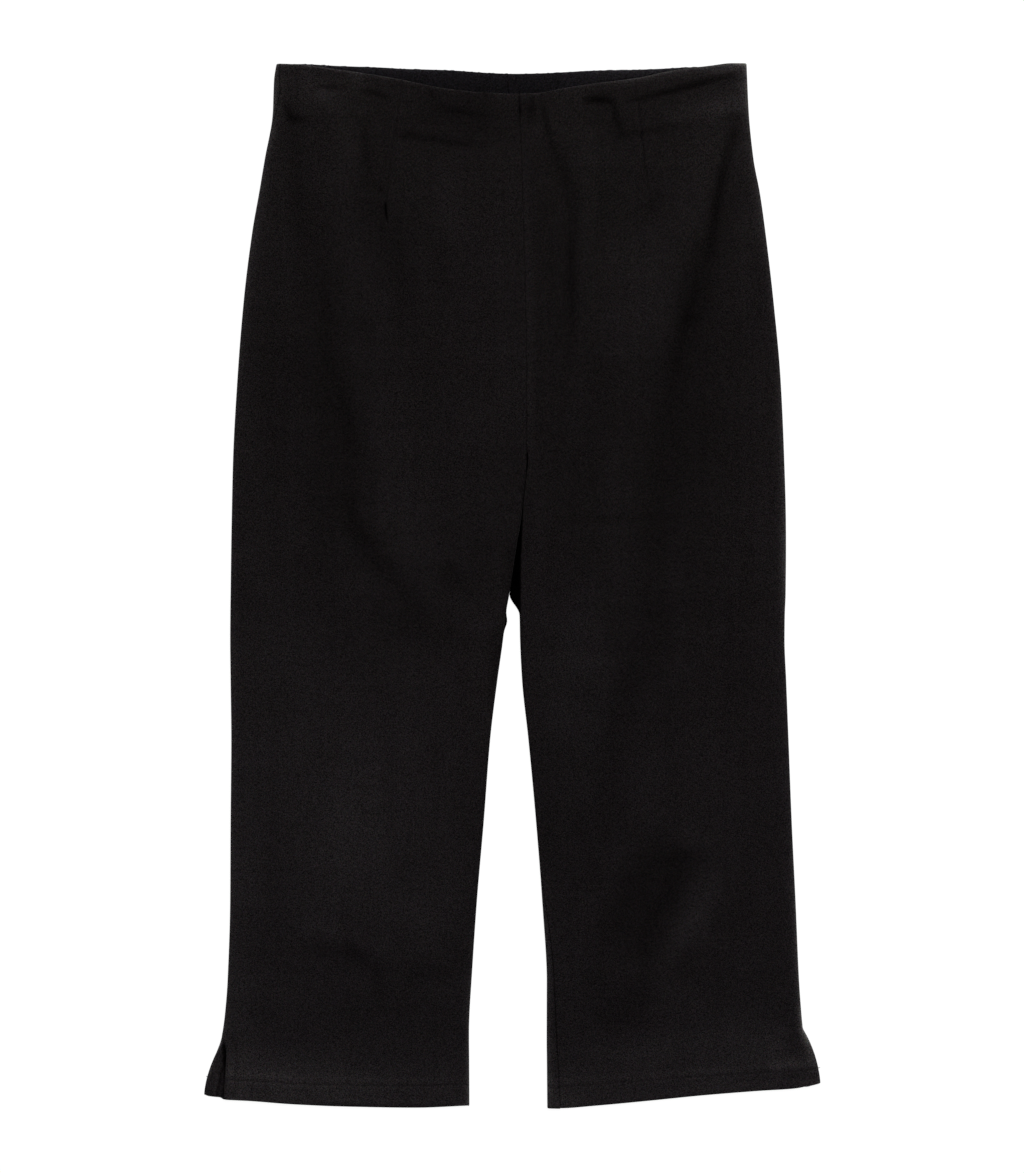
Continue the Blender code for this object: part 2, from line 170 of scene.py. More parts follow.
class Span(NamedTuple):
    """Two places between which something rises from 0 to 1, or falls from 1 to 0."""

    low: float
    high: float

    def rise(self, value: Grid) -> Grid:
        """Share risen at each place."""
        return smooth_step(self.low, self.high, value)

    def fall(self, value: Grid) -> Grid:
        """Share left at each place."""
        return 1.0 - smooth_step(self.low, self.high, value)


CROTCH_DROP = 387.0
CROTCH_FOOT_DROP = 402.0
LENGTH = 762.0

SECTIONS = (
    Section("waist", 0.0, -170.9, 5.5, 5.5, 171.7),
    Section("below the waist edge", 12.0, -172.7, 5.8, 5.8, 172.2),
    Section("foot of the band", 37.0, -173.7, 6.6, 6.6, 173.4),
    Section("high hip", 70.0, -179.5, 7.7, 7.7, 176.8),
    Section("upper hip", 95.0, -183.7, 8.4, 8.4, 181.5),
    Section("hip", 121.0, -188.3, 9.1, 9.1, 185.2),
    Section("seat", 172.0, -194.7, 10.4, 10.4, 191.2),
    Section("low seat", 230.0, -199.4, 11.4, 11.4, 196.5),
    Section("rise", 289.0, -202.6, 11.4, 11.4, 199.2),
    Section("fork", 333.0, -203.6, 7.3, 7.3, 200.4),
    Section("inner fork", 350.0, -203.9, 4.4, 4.4, 200.5),
    Section("crotch", CROTCH_DROP, -204.4, -1.2, -1.2, 200.2),
    Section("foot of the crotch", CROTCH_FOOT_DROP, -204.6, -3.9, 6.2, 199.6),
    Section("upper thigh", 420.0, -204.7, -5.8, 6.6, 199.4),
    Section("thigh", 450.0, -204.4, -10.0, 8.1, 200.6),
    Section("above the knee", 493.0, -203.9, -15.2, 12.7, 202.3),
    Section("knee", 552.0, -204.4, -19.8, 18.2, 204.6),
    Section("below the knee", 610.0, -204.7, -24.8, 22.7, 207.4),
    Section("calf", 669.0, -206.6, -28.8, 26.0, 210.0),
    Section("above the slits", 694.0, -208.6, -30.3, 26.0, 211.8),
    Section("top of the slits", 706.0, -210.2, -30.6, 26.0, 212.9),
    Section("lip of the right slit", 710.0, -210.9, -30.6, 26.0, 213.1),
    Section("below the slits", 715.0, -209.8, -30.6, 26.0, 213.2),
    Section("middle of the slits", 722.0, -208.8, -30.5, 26.1, 213.3),
    Section("hem", LENGTH, -209.6, -30.3, 26.4, 213.4),
)

SEAM_TURNS = (
    SeamTurn("right_side", 0.0, 4.0),
    SeamTurn("right_side", 20.0, 6.0),
    SeamTurn("right_side", 37.0, 3.5),
    SeamTurn("right_side", 52.0, 0.0),
    SeamTurn("left_inner", 570.0, 0.0),
    SeamTurn("left_inner", 632.0, 4.9),
    SeamTurn("left_inner", 683.0, 7.1),
    SeamTurn("left_inner", LENGTH, 10.8),
)

SLITS = {
    Leg.RIGHT: Slit(top=710.5, foot=750.0, back_flare=14.4, front_flare=0.0),
    Leg.LEFT: Slit(top=703.5, foot=743.5, back_flare=0.0, front_flare=12.3),
}

HEM_POINTS = {
    Leg.RIGHT: (
        HemPoint(-224.6, 753.0),
        HemPoint(-220.0, 754.7),
        HemPoint(-209.0, 755.7),
        HemPoint(-190.0, 756.7),
        HemPoint(-160.0, 759.0),
        HemPoint(-120.0, 760.7),
        HemPoint(-70.0, 761.5),
        HemPoint(-30.0, 759.9),
    ),
    Leg.LEFT: (
        HemPoint(26.0, 761.7),
        HemPoint(36.0, 761.9),
        HemPoint(60.0, 760.2),
        HemPoint(100.0, 756.5),
        HemPoint(140.0, 752.5),
        HemPoint(180.0, 749.3),
        HemPoint(207.0, 747.5),
        HemPoint(225.3, 743.4),
    ),
}

WAIST_POINTS = (
    WaistPoint(-171.0, 0.4, 0.6),
    WaistPoint(-154.0, 1.3, 0.4),
    WaistPoint(-125.0, 5.2, 1.8),
    WaistPoint(-94.0, 9.9, 2.9),
    WaistPoint(-79.0, 12.7, 3.8),
    WaistPoint(-47.0, 19.0, 4.8),
    WaistPoint(-13.0, 22.3, 7.0),
    WaistPoint(3.0, 22.8, 7.5),
    WaistPoint(19.0, 22.2, 7.2),
    WaistPoint(41.0, 18.3, 6.2),
    WaistPoint(58.0, 15.8, 5.2),
    WaistPoint(94.0, 10.9, 4.4),
    WaistPoint(109.0, 7.6, 3.8),
    WaistPoint(123.0, 4.9, 3.0),
    WaistPoint(145.0, 2.2, 2.2),
    WaistPoint(160.0, 0.3, 1.4),
    WaistPoint(171.7, 0.2, 0.8),
)

VALLEY_OPENS = Span(286.0, 332.0)

VALLEY_POINTS = (
    ValleyPoint(282.0, 11.7),
    ValleyPoint(287.0, 12.1),
    ValleyPoint(293.0, 12.0),
    ValleyPoint(299.0, 11.0),
    ValleyPoint(306.0, 10.3),
    ValleyPoint(314.0, 9.4),
    ValleyPoint(322.0, 8.7),
    ValleyPoint(332.0, 8.2),
    ValleyPoint(350.0, 7.4),
    ValleyPoint(366.0, 6.7),
    ValleyPoint(405.0, 6.6),
)

# The last column is painted shade in the darts' seams.
DART_POINTS = {
    Leg.RIGHT: (
        DartPoint(0.0, -77.0, 0.22),
        DartPoint(36.0, -82.5, 0.22),
        DartPoint(72.0, -87.6, 0.3),
        DartPoint(104.0, -91.0, 0.35),
        DartPoint(150.0, -86.5, 0.0),
        DartPoint(220.0, -84.0, 0.0),
        DartPoint(450.0, -106.0, 0.0),
        DartPoint(LENGTH, -120.0, 0.0),
    ),
    Leg.LEFT: (
        DartPoint(0.0, 88.0, 0.1),
        DartPoint(30.0, 92.7, 0.25),
        DartPoint(69.0, 97.1, 0.35),
        DartPoint(107.0, 101.5, 0.15),
        DartPoint(220.0, 103.0, 0.0),
        DartPoint(450.0, 105.0, 0.0),
        DartPoint(LENGTH, 120.0, 0.0),
    ),
}

# Heights of the broad folds; the colour also gets painted light on their ridges and painted shade
# in their troughs.
BROAD_FOLDS = (
    Mark("right thigh trough", (-154, 87), (-130, 225), (-112, 340), 16, -1.9),
    Mark("right thigh trough, foot", (-114, 332), (-93, 373), (-54, 414), 10, -1.5),
    Mark("right thigh swell", (-96, 235), (-86, 306), (-72, 372), 18, 1.6),
    Mark("right side swell", (-170, 190), (-160, 290), (-150, 400), 18, 1.2),
    Mark("right hip ridge", (-116, 30), (-117, 66), (-116, 112), 13, 1.2),
    Mark("right dart trough", (-90, 100), (-86, 148), (-76, 200), 11, -1.2),
    Mark("right belly trough", (-56, 118), (-50, 150), (-44, 178), 10, -0.6),
    Mark("right knee swell", (-122, 510), (-120, 570), (-118, 630), 26, 1.3),
    Mark("right calf arc", (-152, 640), (-122, 652), (-90, 666), 9, -1.5),
    Mark("right calf arc, inner", (-78, 672), (-62, 664), (-40, 670), 9, -1.1),
    Mark("left thigh trough, head", (160, 66), (144.5, 134), (125, 214), 13, -1.8),
    Mark("left thigh trough", (122, 205), (108, 310), (96, 412), 14, -2.0),
    Mark("left thigh trough, foot", (92, 425), (84, 460), (72, 495), 11, -1.1),
    Mark("left hip swell", (88, 112), (94, 168), (84, 228), 24, 1.9),
    Mark("left side swell", (158, 200), (152, 300), (148, 400), 20, 1.4),
    Mark("left centre trough", (45, 88), (42.5, 150), (41, 228), 5, -1.5),
    Mark("left centre ridge", (55, 84), (56, 140), (56, 200), 6, 0.5),
    Mark("left inner thigh swell", (52, 330), (54, 400), (50, 460), 20, 1.2),
    Mark("left calf trough", (131, 573), (107, 618), (88, 662), 12, -2.2),
    Mark("left calf trough, head", (142, 577), (122, 581), (98, 589), 8, -0.9),
    Mark("left calf trough, foot", (100, 662), (86, 686), (62, 704), 12, -1.2),
    Mark("left calf ridge", (152, 583), (134, 619), (107, 656), 12, 1.6),
    Mark("crotch swell, right", (-6, 318), (-14, 366), (-24, 420), 11, 1.1),
    Mark("crotch swell, left", (22, 318), (22, 366), (24, 420), 10, 1.3),
)

# Heights of the creases; the colour also gets painted shade in their troughs and painted light on
# their ridges.
CREASES = (
    Mark("right thigh crease", (-137, 150), (-125, 232), (-112, 292), 5, -0.35),
    Mark("right thigh crease, foot", (-120, 300), (-115, 330), (-102, 356), 5, -0.3),
    Mark("left centre crease", (44, 104), (43.2, 150), (46.5, 200), 1.8, -0.5),
    Mark("left fold crease", (139, 158), (126, 190), (118, 234), 3.5, -0.4),
    Mark("left fold knot", (138, 184), (131, 186.5), (123, 188.5), 2.8, -0.5),
    Mark("left corner crease", (170, 6), (127, 18), (82, 29), 2.2, -1.6),
    Mark("left corner swell", (168, 26), (146, 32), (106, 42), 8, 0.7),
    Mark("left band pocket", (51, 28), (64, 27.5), (76, 29), 2.5, -1.9),
    Mark("left band pocket, tail", (74, 26), (76, 38), (83, 60), 2.8, -0.85),
    Mark("left band foot", (150, 40), (161, 39.5), (171, 38), 2.4, -0.55),
    Mark("left hip crease, head", (167, 40), (152.5, 88), (145.5, 148), 4.2, -1.25),
    Mark("left belly pucker", (15, 24), (15.5, 31), (15, 38), 2, -0.6),
    Mark("left belly pucker, second", (21, 21), (25, 42), (32, 68), 2.2, -1.0),
    Mark("left belly crease", (28, 56), (37, 78), (46, 108), 6, -0.65),
    Mark("centre knot", (6.2, 31), (6.5, 35), (6.8, 40), 1.1, -0.6),
    Mark("right centre pinch", (-24, 19), (-20, 22), (-17, 26), 1.5, -0.9),
    Mark("left band foot, inner", (70, 55), (100, 50), (140, 44), 2.4, -0.6),
    Mark("left dart shade", (108, 92), (103, 106), (95, 120), 5, -0.35),
    Mark("left seat bar", (40, 220), (90, 219), (136, 221), 4, -0.22),
    Mark("left thigh bar", (30, 334), (66, 334), (104, 333), 4, -0.35),
    Mark("left side streak", (168, 338), (172, 368), (169, 402), 5, -0.25),
    Mark("left calf foot", (130, 642), (126, 656), (118, 668), 6, -0.4),
    Mark("right band crease", (-148, 18.6), (-131, 17.8), (-119, 19), 1.2, -1.2),
    Mark("right band swell", (-146, 25), (-137, 23.5), (-127, 26), 5, 0.45),
    Mark("right band pinch", (-114, 20), (-100.5, 22.5), (-88, 27), 2.3, -1.1),
    Mark("right band dent", (-56, 31), (-38, 36), (-16, 38.5), 2.2, -0.65),
    Mark("right band mark", (-62, 16), (-58.5, 22), (-54, 30), 1.5, -0.6),
    Mark("right band foot", (-90, 50), (-54, 57), (-14, 61), 3, -0.7),
    Mark("right band foot, knot", (-82, 56), (-76, 53), (-70, 50), 2.4, -0.6),
    Mark("right corner dent", (-165, 29), (-161.5, 37), (-158, 45), 3, -1.0),
    Mark("right corner foot", (-164, 40), (-155, 41), (-145, 42.5), 2.3, -0.9),
    Mark("right hip streak", (-108, 36), (-107, 58), (-102, 88), 6, -0.7),
    Mark("right side streak", (-162, 40), (-156, 86), (-152, 134), 8, -0.35),
    Mark("right dart tip", (-91.4, 101), (-91.3, 108), (-90, 116), 0.7, -2.0),
    Mark("right dart dent", (-97, 90), (-94.5, 93.5), (-93, 98), 2.2, -0.7),
    Mark("right seat dimple", (-116, 186), (-108, 191), (-98, 196), 7, -0.35),
    Mark("right seat bar", (-150, 216), (-110, 215), (-70, 217), 4, -0.12),
    Mark("right thigh dimple", (-50, 362), (-44, 374), (-40, 388), 9, -0.55),
    Mark("right knee streak", (-53, 484), (-56, 506), (-60, 526), 7, -0.3),
    Mark("right calf tail", (-98, 652), (-96, 672), (-97, 690), 6, -0.45),
    Mark("right calf notch", (-124, 636), (-114, 648), (-102, 653), 5, -0.5),
)

# Painted light (above 0) and painted shade (below 0) on the cloth: highlights on rims, ridges and
# the hem, shade in hollows and beside folds.
PAINTED_LIGHT_ZONES = (
    Mark("right waist side", (-172, -10), (-171.5, 28), (-176, 70), 4, 0.6),
    Mark("right band", (-170, 8), (-145, 18), (-112, 30), 13, 0.4),
    Mark("left waist side", (173, 0), (171, 22), (175, 50), 8, 0.75),
    Mark("left band", (168, 26), (156, 35), (140, 38), 7, 0.3),
    Mark("left band edge", (176, 0), (140, 5), (50, 17), 4, 0.5),
    Mark("left corner glow", (180, 2), (162, 4), (142, 9), 5, 0.65),
    Mark("waist middle", (-76, 24), (-36, 38), (16, 42), 18, -0.36),
    Mark("left waist shade", (52, 40), (84, 48), (120, 46), 12, -0.16),
    Mark("right hip edge", (-178, 50), (-183, 90), (-198, 230), 6, 0.26),
    Mark("left hip edge", (174, 40), (180, 90), (187, 140), 8, 0.3),
    Mark("left seat edge", (186, 90), (192, 150), (196, 200), 3, 0.35),
    Mark("left thigh edge", (199, 330), (200, 375), (200, 430), 4.5, 0.4),
    Mark("left hip glow", (162, 48), (158, 78), (144, 116), 12, 0.22),
    Mark("left side rim", (195, 220), (199, 320), (200, 410), 4, 0.5),
    Mark("left side rim, calf", (205, 560), (211, 650), (215, 718), 4, 0.8),
    Mark("right hip shade", (-112, 66), (-104, 96), (-98, 126), 12, -0.24),
    Mark("belly shade", (-70, 30), (-62, 200), (-60, 410), 45, -0.13),
    Mark("centre shade", (18, 40), (28, 220), (26, 420), 20, -0.24),
    Mark("centre seam glow", (9, 66), (13, 190), (13, 322), 4, 0.22),
    Mark("left belly shade", (92, 60), (88, 180), (84, 310), 26, -0.18),
    Mark("left thigh shade", (56, 180), (58, 280), (50, 410), 16, -0.2),
    Mark("left fold shade", (137, 122), (127, 190), (112, 256), 11, -0.3),
    Mark("left outer thigh", (150, 150), (148, 290), (142, 410), 24, -0.46),
    Mark("right outer thigh", (-172, 170), (-160, 270), (-132, 380), 25, -0.4),
    Mark("right hip fold shade", (-160, 196), (-150, 226), (-142, 256), 9, -0.14),
    Mark("right hip side glow", (-196, 196), (-195, 250), (-190, 306), 9, 0.14),
    Mark("left calf hem glow", (206, 694), (170, 702), (104, 696), 10, 0.12),
    Mark("left calf corner shade", (202, 728), (180, 734), (154, 738), 7, -0.14),
    Mark("left outer knee shade", (134, 404), (142, 440), (136, 492), 12, -0.12),
    Mark("left seat side shade", (174, 120), (178, 160), (180, 206), 7, -0.14),
    Mark("left fold foot glow", (92, 314), (114, 318), (136, 322), 10, 0.12),
    Mark("right inseam glow", (-38, 560), (-42, 612), (-42, 650), 8, 0.12),
    Mark("right calf side glow", (-205, 640), (-200, 676), (-196, 704), 7, 0.14),
    Mark("right hem inner shade", (-34, 724), (-36, 738), (-42, 752), 6, -0.16),
    Mark("left hem inner shade", (30, 726), (32, 738), (38, 748), 5, -0.16),
    Mark("left lower thigh shade", (50, 404), (80, 414), (112, 402), 17, -0.1),
    Mark("right calf arc glow", (-62, 648), (-50, 656), (-38, 662), 7, 0.12),
    Mark("right fold foot", (-124, 312), (-114, 338), (-100, 356), 10, -0.25),
    Mark("right thigh foot", (-110, 380), (-70, 410), (-16, 414), 14, -0.2),
    Mark("crotch shade, right", (-2, 316), (-16, 362), (-18, 408), 14, -0.28),
    Mark("crotch shade, left", (20, 318), (26, 360), (26, 404), 11, -0.24),
    Mark("left thigh foot shade", (54, 336), (66, 374), (76, 412), 20, -0.18),
    Mark("left fold foot", (112, 380), (108, 415), (94, 460), 14, -0.32),
    Mark("left knee shade", (84, 440), (74, 510), (66, 600), 14, -0.18),
    Mark("left outer knee", (160, 370), (166, 430), (158, 500), 22, -0.14),
    Mark("left calf shade", (112, 556), (90, 598), (64, 650), 14, -0.44),
    Mark("left calf fold shade", (128, 576), (116, 602), (100, 630), 9, -0.16),
    Mark("left calf foot shade", (62, 640), (62, 680), (66, 706), 12, -0.18),
    Mark("left inner leg", (20, 490), (28, 550), (38, 606), 13, -0.14),
    Mark("left inner thigh glow", (36, 430), (38, 460), (38, 500), 14, 0.14),
    Mark("left calf glow", (152, 588), (138, 626), (112, 668), 10, 0.12),
    Mark("right knee glow", (-166, 390), (-150, 520), (-142, 680), 50, 0.3),
    Mark("right calf glow", (-160, 622), (-138, 632), (-112, 640), 9, 0.22),
    Mark("right knee glow, inner", (-70, 420), (-66, 520), (-56, 660), 24, 0.2),
    Mark("right outer edge", (-200, 400), (-196, 580), (-202, 730), 15, 0.26),
    Mark("right hem corner", (-208, 680), (-186, 726), (-80, 756), 24, 0.42),
    Mark("left hem corner", (212, 700), (186, 722), (130, 736), 16, 0.26),
    Mark("left hem glow", (206, 706), (130, 714), (50, 726), 12, 0.28),
    Mark("left inseam strip", (24, 580), (27, 690), (28, 790), 3.2, 0.42),
    Mark("left hem inner corner", (30, 752), (42, 758), (60, 764), 6, 0.25),
    Mark("left inner calf", (36, 640), (48, 672), (76, 684), 11, 0.14),
    Mark("left inner knee", (48, 540), (55, 575), (62, 610), 9, -0.16),
    Mark("left thigh bar shade", (58, 405), (78, 420), (98, 432), 15, -0.13),
    Mark("left belly side", (64, 76), (68, 104), (66, 136), 7, -0.14),
    Mark("left belly glow", (54, 44), (57, 62), (60, 84), 6, 0.14),
    Mark("right dart shade", (-96, 20), (-92, 52), (-92, 86), 6, -0.12),
    Mark("right belly glow", (-50, 66), (-45, 92), (-38, 150), 10, 0.16),
    Mark("right seat glow", (-134, 206), (-110, 214), (-70, 220), 9, 0.14),
    Mark("right thigh swell shade", (-84, 246), (-82, 300), (-74, 352), 13, -0.12),
    Mark("right fold side", (-156, 350), (-138, 384), (-118, 430), 14, -0.16),
    Mark("right side glow", (-196, 350), (-186, 374), (-176, 402), 10, 0.16),
    Mark("right knee ridge", (-110, 450), (-104, 520), (-90, 606), 17, 0.18),
    Mark("right calf glow, inner", (-100, 602), (-74, 618), (-46, 640), 16, 0.22),
    Mark("right calf foot glow", (-196, 660), (-170, 680), (-130, 690), 14, 0.16),
    Mark("right slit corner", (-206, 716), (-202, 740), (-194, 759), 9, 0.36),
    Mark("right slit shade", (-206, 700), (-196, 712), (-150, 716), 9, -0.1),
    Mark("centre upper shade", (9, 27), (14, 36), (18, 47), 5.5, -0.4),
    Mark("left hip glow, inner", (144, 48), (138, 80), (128, 150), 11, 0.16),
    Mark("left seat glow", (66, 202), (80, 216), (96, 230), 12, 0.1),
    Mark("right band glow", (-118, 6), (-109, 16), (-98, 30), 8, 0.28),
    Mark("left knee fold shade", (120, 440), (108, 480), (98, 510), 14, -0.13),
    Mark("left thigh inner shade", (50, 350), (56, 380), (66, 400), 14, -0.1),
    Mark("right hem highlight", (-150, 700), (-96, 708), (-36, 706), 9, 0.13),
    Mark("left calf low glow", (100, 668), (124, 680), (142, 694), 12, 0.13),
    Mark("left calf top glow", (112, 556), (134, 562), (164, 582), 9, 0.14),
    Mark("right side shade", (-197, 440), (-195, 500), (-194, 570), 9, -0.12),
    Mark("left belly spot", (58, 120), (61, 142), (60, 162), 6, -0.13),
    Mark("right inner thigh", (-6, 404), (-10, 430), (-16, 470), 3.5, -0.25),
    Mark("left band shade", (52, 16), (76, 24), (106, 14), 6, -0.13),
    Mark("right belly low glow", (-44, 140), (-36, 165), (-24, 188), 8, 0.12),
    Mark("left slit glow", (211, 686), (214.5, 708), (220.5, 731), 3.0, 0.85),
    Mark("left slit hollow", (204, 706), (206.5, 715), (210, 724), 4, -0.25),
    Mark("left slit highlight", (214, 727.5), (216.5, 727), (219, 726), 1.6, 0.6),
    Mark("left slit patch", (184, 732), (197, 729), (216, 727), 3.5, 0.4),
    Mark("left slit shade", (196, 739), (208, 736), (220, 733), 4, -0.15),
    Mark("right thigh crease glow", (-130, 160), (-127, 202), (-120, 250), 5, 0.2),
    Mark("crotch centre shade", (1, 346), (-1, 370), (-3, 394), 4, -0.26),
    Mark("right thread end", (-203.2, 750.4), (-202.3, 751.4), (-201.4, 752.4), 1, -1.5),
)

# Painted light and painted shade on the inner face of the right back's loose flap: a lit rim and
# head, shade in its fold and at its foot.
FLAP_PAINTED_LIGHT = (
    Mark("right flap", (-214, 690), (-215, 733), (-218, 776), 9, 0.5),
    Mark("right flap rim", (-208, 700), (-216.5, 723), (-223, 750), 1.5, 1.0),
    Mark("right flap head", (-209, 706), (-212, 714), (-215, 722), 1.7, 1.2),
    Mark("right flap foot", (-209, 733), (-210.5, 745), (-212, 762), 2.2, -0.3),
    Mark("right flap fold", (-208.6, 724), (-212, 740), (-215.6, 758), 0.7, -1.1),
    Mark("right flap crease", (-214, 736), (-215.2, 744), (-216.6, 754), 0.6, 0.4),
)


def smooth_step(low: float, high: float, value: Grid) -> Grid:
    """Rise from 0 at low to 1 at high with level ends.

    Args:
        low: Where the rise starts.
        high: Where it ends.
        value: Places to read.

    Returns:
        The risen share at each place.
    """
    share = np.clip((value - low) / (high - low), 0.0, 1.0)
    return share * share * (3.0 - 2.0 * share)


def smooth_curve(places: list[float], values: list[float], at: Grid) -> Grid:
    """Read a smooth curve through the given values, with no overshoot between them.

    Args:
        places: Where the values stand, rising.
        values: The values.
        at: Places to read.

    Returns:
        The curve's value at each place.
    """
    x = np.asarray(places, dtype=float)
    y = np.asarray(values, dtype=float)
    steps = np.diff(x)
    slopes = np.diff(y) / steps
    tangents = np.empty_like(y)
    tangents[0] = slopes[0]
    tangents[-1] = slopes[-1]
    same_way = slopes[:-1] * slopes[1:] > 0
    total = np.where(same_way, slopes[:-1] + slopes[1:], 1.0)
    tangents[1:-1] = np.where(same_way, 2 * slopes[:-1] * slopes[1:] / total, 0.0)
    inside = np.clip(at, x[0], x[-1])
    cell = np.clip(np.searchsorted(x, inside, side="right") - 1, 0, len(x) - 2)
    t = (inside - x[cell]) / steps[cell]
    ends = (1 + 2 * t) * (1 - t) ** 2 * y[cell] + t * t * (3 - 2 * t) * y[cell + 1]
    pulls = t * (1 - t) ** 2 * tangents[cell] + t * t * (t - 1) * tangents[cell + 1]
    return ends + pulls * steps[cell]


def table_curve(rows: Sequence[tuple], place: str, value: str, at: Grid) -> Grid:
    """Read a smooth curve through two columns of a table.

    Args:
        rows: The table's rows.
        place: Name of the column of places, rising.
        value: Name of the column of values.
        at: Places to read.

    Returns:
        The curve's value at each place.
    """
    places = [getattr(row, place) for row in rows]
    return smooth_curve(places, [getattr(row, value) for row in rows], at)


def soft_noise(across: Grid, drop: Grid, cell: tuple[float, float], seed: int) -> Grid:
    """Smooth random waves from -1 to 1 over the cloth.

    Args:
        across: Places across.
        drop: Places down.
        cell: Rough width and length of one wave.
        seed: Seed of the pattern.

    Returns:
        The wave's value at each place.
    """
    size = 256
    lattice = np.random.default_rng(seed).uniform(-1.0, 1.0, (size, size))
    u = across / cell[0] + LATTICE_ORIGIN[0]
    v = drop / cell[1] + LATTICE_ORIGIN[1]
    iu = np.floor(u).astype(int)
    iv = np.floor(v).astype(int)
    fu = smooth_step(0.0, 1.0, u - iu)
    fv = smooth_step(0.0, 1.0, v - iv)
    corners = [lattice[(iv + dv) % size, (iu + du) % size] for dv in (0, 1) for du in (0, 1)]
    upper = corners[0] * (1 - fu) + corners[1] * fu
    lower = corners[2] * (1 - fu) + corners[3] * fu
    return upper * (1 - fv) + lower * fv


def stops(length: float, step: float, fine: list[tuple[float, float]], fine_step: float) -> Grid:
    """Places along a length, closer together near some of them.

    Args:
        length: The length to divide.
        step: The plain spacing.
        fine: Places with the reach round each where the spacing is fine.
        fine_step: The fine spacing.

    Returns:
        The places, from 0 to the length.
    """
    places = [0.0]
    while places[-1] < length:
        near = any(abs(places[-1] - place) < reach for place, reach in fine)
        places.append(places[-1] + (fine_step if near else step))
    places[-1] = length
    return np.array(places)


def stroke(curve: Mark, across: Grid, drop: Grid) -> Grid:
    """Share of a mark at each place: 1 on its curve, soft at its sides and ends.

    Args:
        curve: The mark, whose curve passes its three places.
        across: Places across.
        drop: Places down.

    Returns:
        The share.
    """
    reach = STROKE_REACH * curve.half_width
    ends = np.array([curve.start, curve.middle, curve.end], dtype=float)
    low = ends.min(axis=0) - reach
    high = ends.max(axis=0) + reach
    near = (across > low[0]) & (across < high[0]) & (drop > low[1]) & (drop < high[1])
    strength = np.zeros(across.shape)
    if not near.any():
        return strength
    x, y = across[near], drop[near]
    t = np.linspace(0.0, 1.0, STROKE_POINTS)[:, None]
    start, middle, end = ends
    bend = 2.0 * middle - 0.5 * (start + end)
    places = (1 - t) ** 2 * start + 2 * t * (1 - t) * bend + t * t * end
    shares = np.sin(np.pi * t[:, 0]) ** STROKE_ENDS_POWER
    nearest = np.full(x.shape, np.inf)
    share = np.zeros(x.shape)
    for (ax, ay), (bx, by), share_a, share_b in zip(places, places[1:], shares, shares[1:]):
        run_x, run_y = bx - ax, by - ay
        along = ((x - ax) * run_x + (y - ay) * run_y) / (run_x**2 + run_y**2)
        along = np.clip(along, 0.0, 1.0)
        gap = np.hypot(x - ax - along * run_x, y - ay - along * run_y)
        closer = gap < nearest
        nearest = np.where(closer, gap, nearest)
        share = np.where(closer, share_a + along * (share_b - share_a), share)
    strength[near] = share * np.exp(-((nearest / curve.half_width) ** 2))
    return strength


def marked(table: Sequence[Mark], across: Grid, drop: Grid) -> Grid:
    """Height or tone of all the marks of a table."""
    return sum(mark.strength * stroke(mark, across, drop) for mark in table)


class Glow(NamedTuple):
    """A height or tone that fades with the distance from an edge."""

    strength: float
    reach: float

    def at(self, distance: Grid) -> Grid:
        """Height or tone at each distance."""
        return self.strength * np.exp(-distance / self.reach)


class Line(NamedTuple):
    """A soft line: its height or tone, its place and its half width."""

    strength: float
    place: float
    half_width: float

    def at(self, value: Grid) -> Grid:
        """Height or tone at each place."""
        return self.strength * np.exp(-(((value - self.place) / self.half_width) ** 2))


class Ripple(NamedTuple):
    """Soft random waves: their height or tone, the width and length of a wave, and the seed."""

    strength: float
    width: float
    length: float
    seed: int

    def over(self, across: Grid, drop: Grid) -> Grid:
        """Height or tone over the cloth."""
        return self.strength * soft_noise(across, drop, (self.width, self.length), self.seed)

    def along(self, edge: Grid) -> Grid:
        """Height or tone along an edge."""
        return self.over(edge, np.zeros_like(edge))


class RimSpot(NamedTuple):
    """Places round a folded rim: how far in, how high, and which way the cloth faces."""

    inward: Grid
    height: Grid
    facing_out: Grid
    facing_up: Grid


class Spots(NamedTuple):
    """Places on a leg's panel: across, down, and the level row that they come from."""

    leg: Leg
    across: Grid
    drop: Grid
    row: Grid


